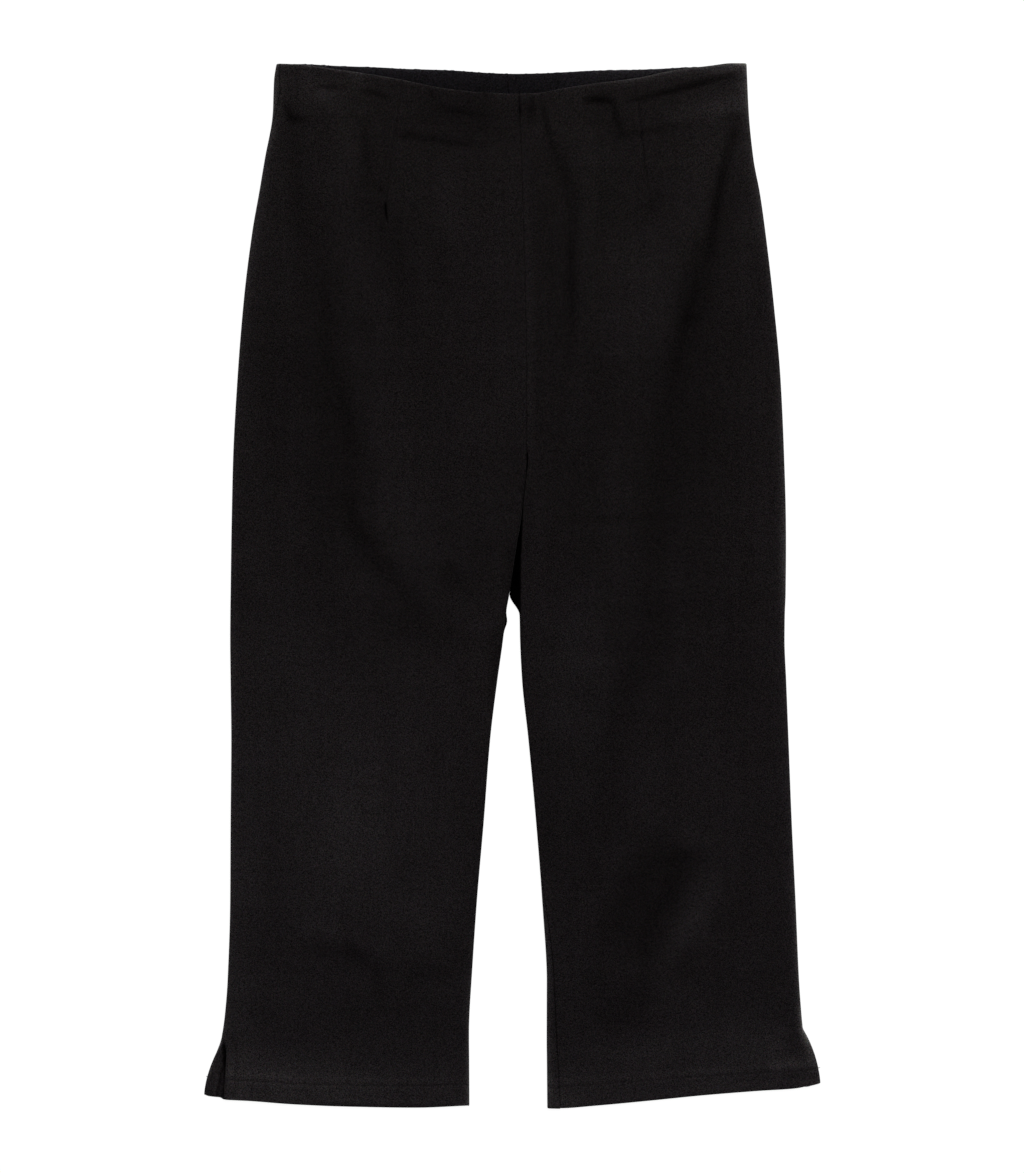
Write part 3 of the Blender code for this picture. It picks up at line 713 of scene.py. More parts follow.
@dataclass
class Cut:
    """The laid garment's outline, from its sizes.

    Attributes:
        seam_gap: Space between two panels at a seam.
        band_setback: How far the inner band starts below the waist edge.
        hem_depth, slit_margin: Distance of the stitching from the hem and from a slit's edge.
        slit_gape, gape_power: How far a slit's upper end stands open, and how near its top.
        waist_dip_fade, hem_fade: Lengths in which the curves of waist and hem fade out.
        centre_back_shift: How far the centre back seam starts beside the centre front seam.
        flap_lift, flap_starts: How much higher a loose back flap's hem is, and from where.
        crotch_peek: How far the right back shows inside the leg below the crotch's foot.
        centring: Shift that centres the garment's box on the origin.
    """

    cloth: float = 1.2
    seam_gap: float = 0.06
    rim_radius: float = 2.2
    band_depth: float = 37.0
    band_cloth: float = 1.0
    band_setback: float = 0.12
    hem_depth: float = 16.0
    slit_margin: float = 7.6
    slit_gape: float = 1.2
    gape_power: float = 0.4
    flare_bow: float = 0.75
    waist_dip_fade: float = 120.0
    hem_fade: float = 130.0
    edge_fade_power: int = 2
    centre_back_shift: float = -8.4
    back_hem_peek: float = 0.7
    flap_lift: float = 1.6
    flap_starts: Span = Span(-1.0, 3.0)
    crotch_peek: Line = Line(1.7, 5.0, 5.0)
    centring: float = -0.39

    @property
    def quarter_rim(self) -> float:
        """Length of cloth round a quarter of a rim."""
        return self.rim_radius * math.pi / 2

    def rim(self, name: str, drop: Grid) -> Grid:
        """Place of a named rim of the section table at each drop."""
        return table_curve(SECTIONS, "drop", name, drop)

    def seam_turn(self, name: str, drop: Grid) -> Grid:
        """How far the seam of a named rim has turned onto the front at each drop."""
        turns = [turn for turn in SEAM_TURNS if turn.rim == name]
        if not turns:
            return np.zeros_like(drop)
        return np.interp(drop, [turn.drop for turn in turns], [turn.reach for turn in turns])

    def slit_share(self, leg: Leg, drop: Grid) -> Grid:
        """Share of a leg's slit passed at each drop: 0 at its top, 1 at its foot."""
        slit = SLITS[leg]
        return np.clip((drop - slit.top) / (slit.foot - slit.top), 0.0, 1.0)

    def side_rim(self, leg: Leg, layer: Layer, drop: Grid) -> Grid:
        """Outer edge of a panel, with its flap swung out beside the slit."""
        slit = SLITS[leg]
        share = self.slit_share(leg, drop)
        reach = slit.back_flare if layer is Layer.BACK else slit.front_flare
        swing = reach * share * (1.0 + self.flare_bow - self.flare_bow * share)
        if layer is Layer.FRONT and not slit.front_flare:
            eased = share**self.gape_power
            swing = -4.0 * self.slit_gape * eased * (1.0 - eased)
        return self.rim(f"{leg.word}_side", drop) + leg.value * swing

    def inner_rim(self, leg: Leg, layer: Layer, drop: Grid) -> Grid:
        """Inner edge of a panel: the centre seam to the crotch, then the inseam's rim."""
        own = self.rim(f"{leg.word}_inner", drop)
        place = np.where(drop > CROTCH_DROP, own, self.rim("right_inner", drop))
        if layer is Layer.BACK:
            place = place + self.centre_back_shift * np.clip(1.0 - drop / CROTCH_DROP, 0.0, 1.0)
            if leg is Leg.RIGHT:
                place = place + self.crotch_peek.at(drop - CROTCH_FOOT_DROP)
        return place

    def dart(self, leg: Leg, column: str, drop: Grid) -> Grid:
        """A column of a leg's dart table at each drop: its place across or the painted shade along
        it.
        """
        return table_curve(DART_POINTS[leg], "drop", column, drop)

    def waist_dip(self, layer: Layer, across: Grid) -> Grid:
        """How far the waist edge of a layer hangs below the top of the waist."""
        return table_curve(WAIST_POINTS, "across", layer.value, across)

    def hem_drop(self, leg: Leg, layer: Layer, across: Grid) -> Grid:
        """Drop of the hem edge of a panel at each place across the leg."""
        drop = table_curve(HEM_POINTS[leg], "across", "drop", across)
        other = Layer.BACK if layer is Layer.FRONT else Layer.FRONT
        corner = abs(float(self.side_rim(leg, other, np.asarray(LENGTH))))
        if layer is Layer.FRONT:
            return drop - self.back_hem_peek * self.flap_starts.fall(np.abs(across) - corner)
        return drop - self.flap_lift * self.flap_starts.rise(np.abs(across) - corner)

    def true_drop(self, leg: Leg, layer: Layer, across: Grid, row: Grid) -> Grid:
        """Bend a level row to the waist edge above and to the hem below."""
        power = self.edge_fade_power
        waist_part = np.clip(1.0 - row / self.waist_dip_fade, 0.0, 1.0) ** power
        hem_part = np.clip(1.0 - (LENGTH - row) / self.hem_fade, 0.0, 1.0) ** power
        hem_shift = self.hem_drop(leg, layer, across) - LENGTH
        return row + self.waist_dip(layer, across) * waist_part + hem_shift * hem_part

    def rim_spot(self, along: Grid, top: Grid, folded: Grid) -> RimSpot:
        """Follow the cloth round a rim, from the table (along below 0) over to the front.

        Args:
            along: Length of cloth from the rim's outermost line.
            top: Height of the front there.
            folded: 1 at a folded rim, 0 at the flat edge of a seam.

        Returns:
            The places round the rim.
        """
        turn = np.clip(np.abs(along) / self.rim_radius, 0.0, math.pi / 2)
        past = np.maximum(np.abs(along) - self.quarter_rim, 0.0)
        arc_inward = self.rim_radius * (1 - np.cos(turn)) + past
        over = along >= 0
        upper = self.rim_radius + (top - self.rim_radius) * np.sin(turn)
        arc_height = np.where(over, upper, self.rim_radius * (1 - np.sin(turn)))
        inward = folded * arc_inward + (1 - folded) * np.abs(along)
        height = folded * arc_height + (1 - folded) * np.where(over, top, 0.0)
        facing_out = folded * np.cos(turn)
        facing_up = np.where(over, 1.0, -1.0) * np.sqrt(1.0 - facing_out**2)
        return RimSpot(inward, height, facing_out, facing_up)


@dataclass
class Relief:
    """Height of the front's outer face.

    Attributes:
        crest: Height of the front just inside a rim.
        crown, crown_power: How much higher the middle of body and legs is, and how flat.
        legs_part: Drops between which the crown passes from the body to the legs.
        hem_calm: Heights above the hem in which crown and folds grow to full strength.
        lowest, softness: Height over the cloth below, and how softly it is reached.
        fold_gain, crease_gain: How much stronger folds and creases are than their tables say.
        gap_floor: Height of the cloth at the bottom of the gap above the crotch.
        gap_side, gap_foot: Where that floor ends, from its wall and from the crotch's foot.
    """

    cut: Cut
    crest: float = 4.4
    crown: float = 3.2
    crown_power: int = 4
    legs_part: Span = Span(0.7 * CROTCH_DROP, CROTCH_FOOT_DROP)
    hem_calm: Span = Span(8.0, 60.0)
    hem_crown_loss: float = 1.1
    hem_fold_loss: float = 0.6
    lowest: float = 3.0
    softness: float = 0.35
    band_bulk_end: Span = Span(20.0, 50.0)
    fold_gain: float = 1.9
    crease_gain: float = 1.3
    waves: tuple[Ripple, ...] = (
        Ripple(0.4, 34.0, 60.0, 21),
        Ripple(0.18, 17.0, 24.0, 22),
        Ripple(0.05, 7.0, 7.0, 23),
    )
    dart_tip: float = 112.0
    dart_fade: float = 24.0
    dart_seam: Line = Line(-0.5, 0.0, 0.8)
    dart_ridge: Line = Line(0.3, 0.0, 5.0)
    band_ledge: float = 0.42
    band_ledge_end: Span = Span(-1.2, 1.0)
    ledge_least: float = 0.55
    ledge_ripple: Ripple = Ripple(0.45, 18.0, 1.0, 11)
    waist_pucker: Ripple = Ripple(0.3, 9.0, 1.0, 12)
    waist_pucker_fade: Glow = Glow(1.0, 9.0)
    hem_step: float = 0.5
    hem_step_end: Span = Span(-0.6, 1.6)
    stitch_groove: Line = Line(-0.4, 0.0, 0.9)
    hem_pucker: Ripple = Ripple(0.22, 6.5, 1.0, 13)
    hem_pucker_fade: Glow = Glow(1.0, 10.0)
    slit_groove: Line = Line(-0.35, 0.0, 0.9)
    slit_head: Span = Span(0.0, 0.1)
    gap_floor: float = 2.8
    gap_side: Span = Span(-0.7, 0.5)
    gap_foot: Span = Span(-2.0, 4.0)

    def dart(self, spots: Spots) -> tuple[Grid, Grid]:
        """Distance from the leg's dart and how much of the dart is there."""
        gap = spots.across - self.cut.dart(spots.leg, "across", spots.drop)
        return gap, 1.0 - smooth_step(self.dart_tip - self.dart_fade, self.dart_tip, spots.drop)

    def sunk(self, spots: Spots) -> Grid:
        """Share of the gap above the crotch: 1 on its floor, 0 outside it."""
        if spots.leg is Leg.RIGHT:
            return np.zeros_like(spots.across)
        wall = table_curve(VALLEY_POINTS, "drop", "across", spots.drop)
        head = smooth_step(VALLEY_POINTS[0].drop, VALLEY_POINTS[1].drop, spots.drop)
        foot = self.gap_foot.fall(spots.drop - CROTCH_FOOT_DROP)
        return self.gap_side.fall(spots.across - wall) * head * foot

    def sewn(self, spots: Spots) -> Grid:
        """Height of the darts, the ironed band edge and the stitched hem and slits."""
        cut = self.cut
        leg, across, drop, row = spots
        from_dart, dart_part = self.dart(spots)
        dart = (self.dart_seam.at(from_dart) + self.dart_ridge.at(from_dart)) * dart_part
        ledge = self.band_ledge * self.band_ledge_end.fall(row - cut.band_depth)
        ledge = ledge * (self.ledge_least + self.ledge_ripple.along(across))
        pucker = self.waist_pucker.along(across) * self.waist_pucker_fade.at(row)
        from_stitch = LENGTH - row - cut.hem_depth
        hem = self.hem_step * self.hem_step_end.fall(from_stitch)
        hem = hem + self.stitch_groove.at(from_stitch)
        fade = self.hem_pucker_fade.at(np.abs(from_stitch))
        hem = hem + self.hem_pucker.along(across) * fade
        from_margin = np.abs(across - cut.side_rim(leg, Layer.FRONT, drop)) - cut.slit_margin
        slit = self.slit_groove.at(from_margin) * self.slit_head.rise(cut.slit_share(leg, drop))
        return dart + ledge + pucker + hem + slit

    def height(self, spots: Spots) -> Grid:
        """Height of the front's outer face above the table.

        Args:
            spots: Places on the front.

        Returns:
            The height, never below what lies under the cloth.
        """
        cut = self.cut
        leg, across, drop, row = spots
        side = cut.rim(f"{leg.word}_side", drop)
        inner = cut.inner_rim(leg, Layer.FRONT, drop)
        body = np.clip(across / np.abs(side), -1.0, 1.0)
        leg_share = np.clip((across - side) / (inner - side), 0.0, 1.0) * 2.0 - 1.0
        in_leg = self.legs_part.rise(drop)
        crown = (1.0 - body**self.crown_power) * (1.0 - in_leg)
        crown = crown + (1.0 - leg_share**self.crown_power) * in_leg
        near_hem = self.hem_calm.fall(LENGTH - row)
        folds = self.fold_gain * marked(BROAD_FOLDS, across, drop)
        folds = folds + self.crease_gain * marked(CREASES, across, drop)
        height = self.crest + self.crown * crown * (1.0 - self.hem_crown_loss * near_hem)
        height = height + folds * (1.0 - self.hem_fold_loss * near_hem) + self.sewn(spots)
        height = height + sum(wave.over(across, drop) for wave in self.waves)
        over_band = self.band_bulk_end.fall(drop - cut.band_depth)
        lowest = self.lowest + (cut.band_cloth + cut.seam_gap) * over_band
        height = lowest + np.log1p(np.exp((height - lowest) / self.softness)) * self.softness
        sunk = self.sunk(spots)
        return height * (1.0 - sunk) + self.gap_floor * sunk


@dataclass
class Nap:
    """Painted light (above 0) and painted shade (below 0) on the cloth, with random streaks and
    marks and the needle pits beside a slit.

    A tone is the logarithm of a factor.

    Attributes:
        fold, crease: Painted light on ridges and painted shade in troughs, as tone for each
            millimetre of a fold's or a crease's height.
        waist_corner: How much stronger the painted highlight along the waist edge is at the sides.
        left_calf: The painted highlight on the left rim above the slit.
        hem_foot, hem_glows: Strips of painted highlight on the hem, uneven as hem_uneven says.
        hem_rim, hem_rim_marks: The hem's very edge, with stretches of painted highlight and painted
            shade.
    """

    relief: Relief
    fold: float = 0.18
    crease: float = 0.58
    # Painted shade in the darts' seams.
    dart_line: Line = Line(-1.0, 0.0, 0.6)
    # Painted shade on the floor of the gap above the crotch.
    gap: float = -4.0
    streaks: tuple[Ripple, ...] = (
        Ripple(0.05, 5.0, 80.0, 61),
        Ripple(0.045, 90.0, 6.0, 62),
        Ripple(0.05, 24.0, 24.0, 63),
    )
    # Painted highlight along the waist edge, stronger at the sides.
    waist_edge: Glow = Glow(0.75, 1.3)
    waist_corner: float = 1.3
    half_waist: float = 171.0
    waist_marks: Ripple = Ripple(0.14, 7.0, 1.0, 12)
    waist_marks_fade: Glow = Glow(1.0, 12.0)
    pits: Line = Line(0.4, 0.0, 0.7)
    pit_ripple: Ripple = Ripple(1.0, 1.8, 1.0, 66)
    pit_level: float = 0.3
    # Painted highlights along the rims, stronger at the hips, with a painted glow that fades
    # inwards.
    side: Glow = Glow(0.85, 1.9)
    side_haze: Glow = Glow(0.14, 8.0)
    hip_gain: float = 0.45
    hip_end: Span = Span(150.0, 280.0)
    # Painted highlights along the inseams' rims and along the left rim above the slit.
    right_inseam: Glow = Glow(1.5, 1.9)
    right_inseam_starts: Span = Span(600.0, 700.0)
    left_inseam: Glow = Glow(0.9, 1.7)
    left_inseam_starts: Span = Span(560.0, 630.0)
    left_calf: Glow = Glow(0.8, 1.7)
    left_calf_starts: Span = Span(600.0, 690.0)
    left_calf_ends: Span = Span(704.0, 740.0)
    # Painted sheen of the ironed hem.
    painted_hem_sheen: float = 0.4
    painted_hem_sheen_end: Span = Span(14.0, 60.0)
    # Strips of painted highlight on the hem.
    hem_glows: tuple[Line, ...] = (Line(0.2, 4.5, 2.6), Line(0.1, -1.4, 1.2))
    hem_foot: float = 0.1
    hem_foot_end: Span = Span(2.0, 10.0)
    hem_uneven: Ripple = Ripple(0.4, 22.0, 1.0, 65)
    # A dotted line of painted shade in the groove of the hem's stitching.
    hem_line: Line = Line(-0.3, 0.3, 0.8)
    hem_dots: Ripple = Ripple(0.25, 2.2, 1.0, 64)
    hem_dots_least: float = 0.75
    # Painted highlight and painted shade along the hem's very edge.
    hem_rim: Line = Line(1.0, 0.3, 1.0)
    hem_rim_marks: tuple[Line, ...] = (
        Line(0.5, -203.0, 12.0),
        Line(0.5, -33.0, 6.0),
        Line(-0.7, -105.0, 45.0),
        Line(-0.28, 90.0, 40.0),
    )

    def tone(self, spots: Spots, layer: Layer) -> Grid:
        """Painted light and shade of a layer's outer face, with its random streaks and marks.

        Args:
            spots: Places on the layer.
            layer: Front or back.

        Returns:
            The tone.
        """
        leg, across, drop, row = spots
        # Painted light on the folds' ridges and painted shade in their troughs, then the painted
        # light and shade of the zones.
        tone = self.fold * marked(BROAD_FOLDS, across, drop)
        tone = tone + self.crease * marked(CREASES, across, drop)
        tone = tone + marked(PAINTED_LIGHT_ZONES, across, drop)
        from_dart, dart_part = self.relief.dart(spots)
        # Painted shade in the dart's seam.
        dark = self.relief.cut.dart(leg, "dark", drop)
        tone = tone + dark * self.dart_line.at(from_dart) * dart_part
        tone = tone + self.waist_marks.along(across) * self.waist_marks_fade.at(row)
        streaks = sum(streak.over(across, drop) for streak in self.streaks)
        # Painted shade on the floor of the gap above the crotch.
        sunk = self.gap * self.relief.sunk(spots)
        return tone + self.hem(spots) + self.edges(spots, layer) + streaks + sunk

    def edges(self, spots: Spots, layer: Layer) -> Grid:
        """Painted highlights along the waist edge and the rims, and the tone of the needle pits
        beside a slit.
        """
        cut = self.relief.cut
        leg, across, drop, row = spots
        share = cut.slit_share(leg, drop)
        sewn = self.relief.slit_head.fall(share)
        side = np.abs(across - cut.side_rim(leg, layer, drop))
        inner = np.abs(across - cut.inner_rim(leg, layer, drop))
        # Painted highlight along the waist edge, stronger at the sides.
        corner = self.waist_corner * np.abs(across) / self.half_waist
        edge = (self.waist_edge.strength + corner) * np.exp(-row / self.waist_edge.reach)
        pitted = self.pits.at(side - cut.slit_margin) * (1.0 - sewn) * (across < 0)
        edge = edge + pitted * (self.pit_ripple.along(drop) - self.pit_level)
        # Painted highlights along the side rims, stronger at the hips.
        hip = 1.0 + self.hip_gain * self.hip_end.fall(drop)
        painted_highlight = self.side.at(side) * hip + self.side_haze.at(side)
        edge = edge + painted_highlight * (1.0 if SLITS[leg].front_flare else sewn)
        # Painted highlights along the inseams' rims and the left rim above the slit.
        if leg is Leg.RIGHT:
            return edge + self.right_inseam.at(inner) * self.right_inseam_starts.rise(drop)
        lit = self.left_calf_starts.rise(drop) * self.left_calf_ends.fall(drop)
        edge = edge + self.left_inseam.at(inner) * self.left_inseam_starts.rise(drop)
        return edge + self.left_calf.at(side) * lit

    def hem(self, spots: Spots) -> Grid:
        """Painted sheen of the ironed hem with painted highlights, a dotted line of painted shade
        where it is stitched, and painted light and shade along its very edge.
        """
        across, above = spots.across, LENGTH - spots.row
        from_stitch = above - self.relief.cut.hem_depth
        painted_hem_sheen = self.painted_hem_sheen * self.painted_hem_sheen_end.fall(above)
        glow = sum(line.at(from_stitch) for line in self.hem_glows)
        glow = glow + self.hem_foot * self.hem_foot_end.fall(above)
        dotted = self.hem_dots_least + self.hem_dots.along(across)
        line = self.hem_line.at(from_stitch) * dotted
        rim = sum(mark.at(across) for mark in self.hem_rim_marks) * self.hem_rim.at(above)
        return painted_hem_sheen + glow * (1.0 + self.hem_uneven.along(across)) + line + rim


def in_metres(places: Grid, centring: float) -> Grid:
    """Turn (across, drop, height) places into points of the garment's frame.

    Args:
        places: The places.
        centring: Shift across to the garment's frame.

    Returns:
        The points in metres.
    """
    across, drop, height = places[..., 0], places[..., 1], places[..., 2]
    return np.stack([across + centring, LENGTH / 2 - drop, height], axis=-1) * MM


def wall_faces(row_count: int, column_count: int) -> Grid:
    """Faces of a closed wall between two grids: both sheets and the strip round their edge.

    Args:
        row_count: Rows of a grid.
        column_count: Columns of a grid.

    Returns:
        An array of quads.
    """
    second = row_count * column_count
    index = np.arange(second).reshape(row_count, column_count)
    sheet = np.stack(
        [index[:-1, :-1], index[1:, :-1], index[1:, 1:], index[:-1, 1:]], axis=-1
    ).reshape(-1, 4)
    edge = np.concatenate(
        [index[0, :], index[1:, -1], index[-1, -2::-1], index[-2:0:-1, 0]]
    )
    after = np.roll(edge, -1)
    strip = np.stack([edge, after, second + after, second + edge], axis=-1)
    return np.concatenate([sheet, second + sheet[:, ::-1], strip])


def wall_mesh(name: str, outer: Grid, inner: Grid, centring: float) -> bpy.types.Mesh:
    """Mesh of a closed wall between two grids of (across, drop, height) places.

    Args:
        name: Name of the mesh.
        outer: Outer grid.
        inner: Inner grid.
        centring: Shift across to the garment's frame.

    Returns:
        The mesh, facing outwards.
    """
    rows, columns = outer.shape[:2]
    places = np.concatenate([outer.reshape(-1, 3), inner.reshape(-1, 3)])
    points = in_metres(places, centring)
    mesh = bpy.data.meshes.new(name)
    mesh.from_pydata(points.tolist(), [], wall_faces(rows, columns).tolist())
    # The first face belongs to the outer sheet, so it shows which way the faces point.
    middle = (rows // 2, columns // 2, 2)
    outer_above = outer[middle] > inner[middle]
    if (mesh.polygons[0].normal.z > 0) != outer_above:
        mesh.flip_normals()
    mesh.shade_smooth()
    mesh.set_sharp_from_angle(angle=SHARP_EDGE)
    return mesh


def add_object(name: str, data: bpy.types.ID) -> bpy.types.Object:
    """Link a new object at the origin."""
    added = bpy.data.objects.new(name, data)
    bpy.context.scene.collection.objects.link(added)
    return added


def set_tone(mesh: bpy.types.Mesh, outer: Grid, inner: Grid) -> None:
    """Store the painted light and shade, with the random streaks, for each point of a wall.

    Args:
        mesh: The wall.
        outer: Tones of its outer face.
        inner: Tones of its inner face.
    """
    attribute = mesh.attributes.new("nap", "FLOAT", "POINT")
    values = np.concatenate([outer.ravel(), inner.ravel()])
    attribute.data.foreach_set("value", values.astype(np.float32))


class PanelGrid(NamedTuple):
    """A panel's columns laid out: its places and the cloth's length round both rims."""

    spots: Spots
    side_along: Grid
    inner_along: Grid
    side_folded: Grid
    inner_folded: Grid


@dataclass
class LegPanel:
    """One of the four leg panels, as a wall with finely rounded edges.

    Attributes:
        The first field holds the painted light and painted shade of the cloth, with its random
        streaks, and the form of the front.
        side_to_dart, dart_to_inner: Usual widths of its two parts, for the spacing.
        rim_columns, rim_width: Lengths of cloth at the columns round a rim, and their width.
        edge_pinch: Share of the thickness that the rounding takes from each face.
        slit_unfolds: Shares of a slit between which the back's rim opens into a flat flap.
        hem_bulk, waist_bulk: How much thicker the turned hem and the waist edge are.
        hollow, hollow_level: Soft hollows of the under face, and how much stays flat.
        turned_groove, turned_tone: The groove and the painted shade that a seam gains where it has
            turned onto the front.
        centre_groove, centre_reach: What it gains at the centre front, this near the middle.
        pocket_reach, pocket_least: Reach of the painted shadow in a slit, from the front's edge.
    """

    nap: Nap
    leg: Leg
    layer: Layer
    step: float = 2.2
    fine_step: float = 0.8
    side_to_dart: float = 100.0
    dart_to_inner: float = 92.0
    rim_columns: tuple[float, ...] = (0.0, 0.05, 0.15, 0.3, 0.6, 1.0, 1.5, 2.0, 2.5, 3.0)
    rim_width: float = 2.0
    edge_rows: tuple[float, ...] = (0.04, 0.2, 0.5)
    edge_round: float = 0.6
    edge_pinch: float = 0.46
    slit_unfolds: Span = Span(0.0, 0.25)
    slit_open: float = 0.025
    hem_bulk: float = 0.4
    waist_bulk: float = 0.2
    waist_bulk_end: Span = Span(2.0, 8.0)
    hollow: Ripple = Ripple(1.0, 38.0, 38.0, 31)
    hollow_level: float = 0.1
    hollow_depth: float = 0.5
    hollow_margin: Span = Span(0.0, 30.0)
    under_groove: Line = Line(0.25, 0.0, 0.9)
    groove: float = 0.05
    groove_width: float = 0.5
    turned_groove: float = 0.3
    centre_groove: float = 0.2
    turn_shows: Span = Span(0.0, 3.0)
    centre_reach: float = 30.0
    # Painted shade in the seams' grooves.
    seam_tone: float = 0.2
    seam_line: Line = Line(-1.0, 0.0, 0.5)
    turned_tone: float = 0.65
    turned_depth: Span = Span(0.25, 0.35)
    turned_loss: float = 0.45
    turned_loss_at: Span = Span(722.0, 746.0)
    waist_seam_tone: float = 0.25
    waist_seam_end: Span = Span(30.0, 60.0)
    # Painted shade on the back's inner face at the crotch.
    crotch_dark: Line = Line(-3.0, -20.0, 70.0)
    crotch_dark_across: Line = Line(1.0, 4.0, 12.0)
    # Painted shadow in the upper end of a slit, on the back's inner face beside the front's edge.
    pocket_dark: float = 2.4
    pocket_reach: Line = Line(2.0, 0.0, 0.6)
    pocket_least: float = 0.6
    pocket_power: int = 3
    pocket_darkens: Span = Span(0.08, 0.18)
    pocket_lightens: Span = Span(0.3, 0.8)
    pocket_loss: float = 0.65

    @property
    def relief(self) -> Relief:
        """Form of the front."""
        return self.nap.relief

    @property
    def cut(self) -> Cut:
        """The garment's cut."""
        return self.relief.cut

    @property
    def node(self) -> str:
        """Name of the solid that this panel stands for."""
        return f"{self.layer.value}_{self.leg.word}"

    def rows(self) -> Grid:
        """Level rows, closer together at the waist, the band's foot and the hem."""
        cut = self.cut
        fine = [(0.0, 4.0), (cut.band_depth, 2.5), (LENGTH - cut.hem_depth, 3.5), (LENGTH, 2.0)]
        places = stops(LENGTH, self.step, fine, self.fine_step)
        edge = self.edge_round * np.array(self.edge_rows)
        return np.concatenate([[0.0], edge, places[1:-1], LENGTH - edge[::-1], [LENGTH]])

    def edge_lengths(self, turn: Grid) -> Grid:
        """Cloth lengths round a rim where the mesh has its columns, from the seam inwards."""
        cut = self.cut
        marks = np.array([*self.rim_columns, cut.quarter_rim])
        if self.layer is Layer.FRONT:
            return turn + cut.seam_gap / 2 + marks
        share = marks / cut.quarter_rim
        return (turn - cut.seam_gap / 2) * (1 - share) - cut.quarter_rim * share

    def middle_shares(self) -> tuple[Grid, Grid]:
        """Shares of the way from the side to the dart and from the dart to the inner edge."""
        to_dart, to_inner = self.side_to_dart, self.dart_to_inner
        at_dart = 3.5
        at_inner = 10.0 if self.layer is Layer.FRONT and self.leg is Leg.LEFT else 3.0
        outer_fine = [(self.cut.slit_margin - self.rim_width, 2.5), (to_dart, at_dart)]
        outer_part = stops(to_dart, self.step, outer_fine, self.fine_step)
        inner_fine = [(0.0, at_dart), (to_inner, at_inner)]
        inner_part = stops(to_inner, self.step, inner_fine, self.fine_step)
        return outer_part / to_dart, inner_part / to_inner

    def folded(self, drop: Grid) -> tuple[Grid, Grid]:
        """How far the side and the inner edge are folded rims rather than flat seams."""
        side = np.ones_like(drop)
        inner = smooth_step(CROTCH_DROP, CROTCH_FOOT_DROP, drop)
        if self.layer is Layer.BACK:
            side = self.slit_unfolds.fall(self.cut.slit_share(self.leg, drop))
        elif self.leg is Leg.RIGHT:
            inner = VALLEY_OPENS.rise(drop)
        return side, inner

    def layout(self) -> PanelGrid:
        """Lay out the panel's rows and columns.

        Returns:
            The grid's places and rims.
        """
        cut = self.cut
        inward = -self.leg.value
        edge_count = len(self.rim_columns) + 1
        to_dart, to_inner = self.middle_shares()
        first = edge_count + len(to_dart) - 1
        count = 2 * edge_count + len(to_dart) + len(to_inner) - 3
        row = np.repeat(self.rows()[:, None], count, axis=1)
        drop = row.copy()
        near_side, near_inner = slice(0, edge_count), slice(count - edge_count, count)
        for _ in range(SOLVING_ROUNDS):
            side_along = self.edge_lengths(cut.seam_turn(f"{self.leg.word}_side", drop[:, :1]))
            inner_along = self.edge_lengths(cut.seam_turn(f"{self.leg.word}_inner", drop[:, -1:]))
            side_folded, inner_folded = self.folded(drop)
            crest = np.full(side_along.shape, self.relief.crest)
            side_in = cut.rim_spot(side_along, crest, side_folded[:, near_side]).inward
            inner_in = cut.rim_spot(inner_along, crest, inner_folded[:, near_inner]).inward
            across = np.empty_like(drop)
            side = cut.side_rim(self.leg, self.layer, drop[:, near_side])
            inner = cut.inner_rim(self.leg, self.layer, drop[:, near_inner])
            across[:, near_side] = side + inward * side_in
            across[:, near_inner] = inner - inward * inner_in[:, ::-1]
            start = across[:, edge_count - 1 : edge_count]
            end = across[:, count - edge_count : count - edge_count + 1]
            dart = cut.dart(self.leg, "across", drop[:, first - 1 : first])
            across[:, edge_count:first] = start + (dart - start) * to_dart[1:]
            across[:, first : count - edge_count] = dart + (end - dart) * to_inner[1:-1]
            drop = cut.true_drop(self.leg, self.layer, across, row)
        spots = Spots(self.leg, across, drop, row)
        folded = (side_folded[:, near_side], inner_folded[:, near_inner])
        return PanelGrid(spots, side_along, inner_along[:, ::-1], *folded)

    def surfaces(self, grid: PanelGrid) -> tuple[Grid, Grid]:
        """Outer and inner faces of the wall.

        Args:
            grid: The laid-out panel.

        Returns:
            Two grids of (across, drop, height) places.
        """
        cut = self.cut
        _, across, drop, row = grid.spots
        front = self.layer is Layer.FRONT
        top = self.relief.height(grid.spots)
        base = self.hollows(grid.spots)
        height = top.copy() if front else base.copy()
        facing_up = np.full_like(height, 1.0 if front else -1.0)
        outward = np.zeros_like(height)
        edge_count = grid.side_along.shape[1]
        at_side = slice(0, edge_count)
        for part, along, folded, way in (
            (at_side, grid.side_along, grid.side_folded, self.leg.value),
            (slice(-edge_count, None), grid.inner_along, grid.inner_folded, -self.leg.value),
        ):
            spot = cut.rim_spot(along, top[:, part], folded)
            lift = 0.0 if front else base[:, part] * np.clip(-along / cut.quarter_rim, 0.0, 1.0)
            height[:, part] = spot.height + lift
            facing_up[:, part] = spot.facing_up
            outward[:, part] = way * spot.facing_out
        to_seam = self.to_seam(grid)
        free = np.minimum(row, LENGTH - row)
        slit = cut.slit_share(self.leg, drop[:, at_side]) > self.slit_open
        open_edge = np.where(slit, to_seam[:, at_side], np.inf)
        free[:, at_side] = np.minimum(free[:, at_side], open_edge)
        thick = self.thickness(row)
        inset = 1.0 - np.clip(free / self.edge_round, 0.0, 1.0)
        pinch = self.edge_pinch * thick * (1.0 - np.sqrt(1.0 - inset**2))
        groove = (1.0 - np.clip(to_seam / self.groove_width, 0.0, 1.0)) ** 2
        groove = self.seam_groove(grid.spots) * groove
        normal = np.stack([outward, np.zeros_like(outward), facing_up], axis=-1)
        face = np.stack([across, drop, height], axis=-1)
        outer_face = face - normal * np.maximum(pinch, groove)[..., None]
        inner_face = face - normal * (thick - pinch)[..., None]
        return outer_face, inner_face

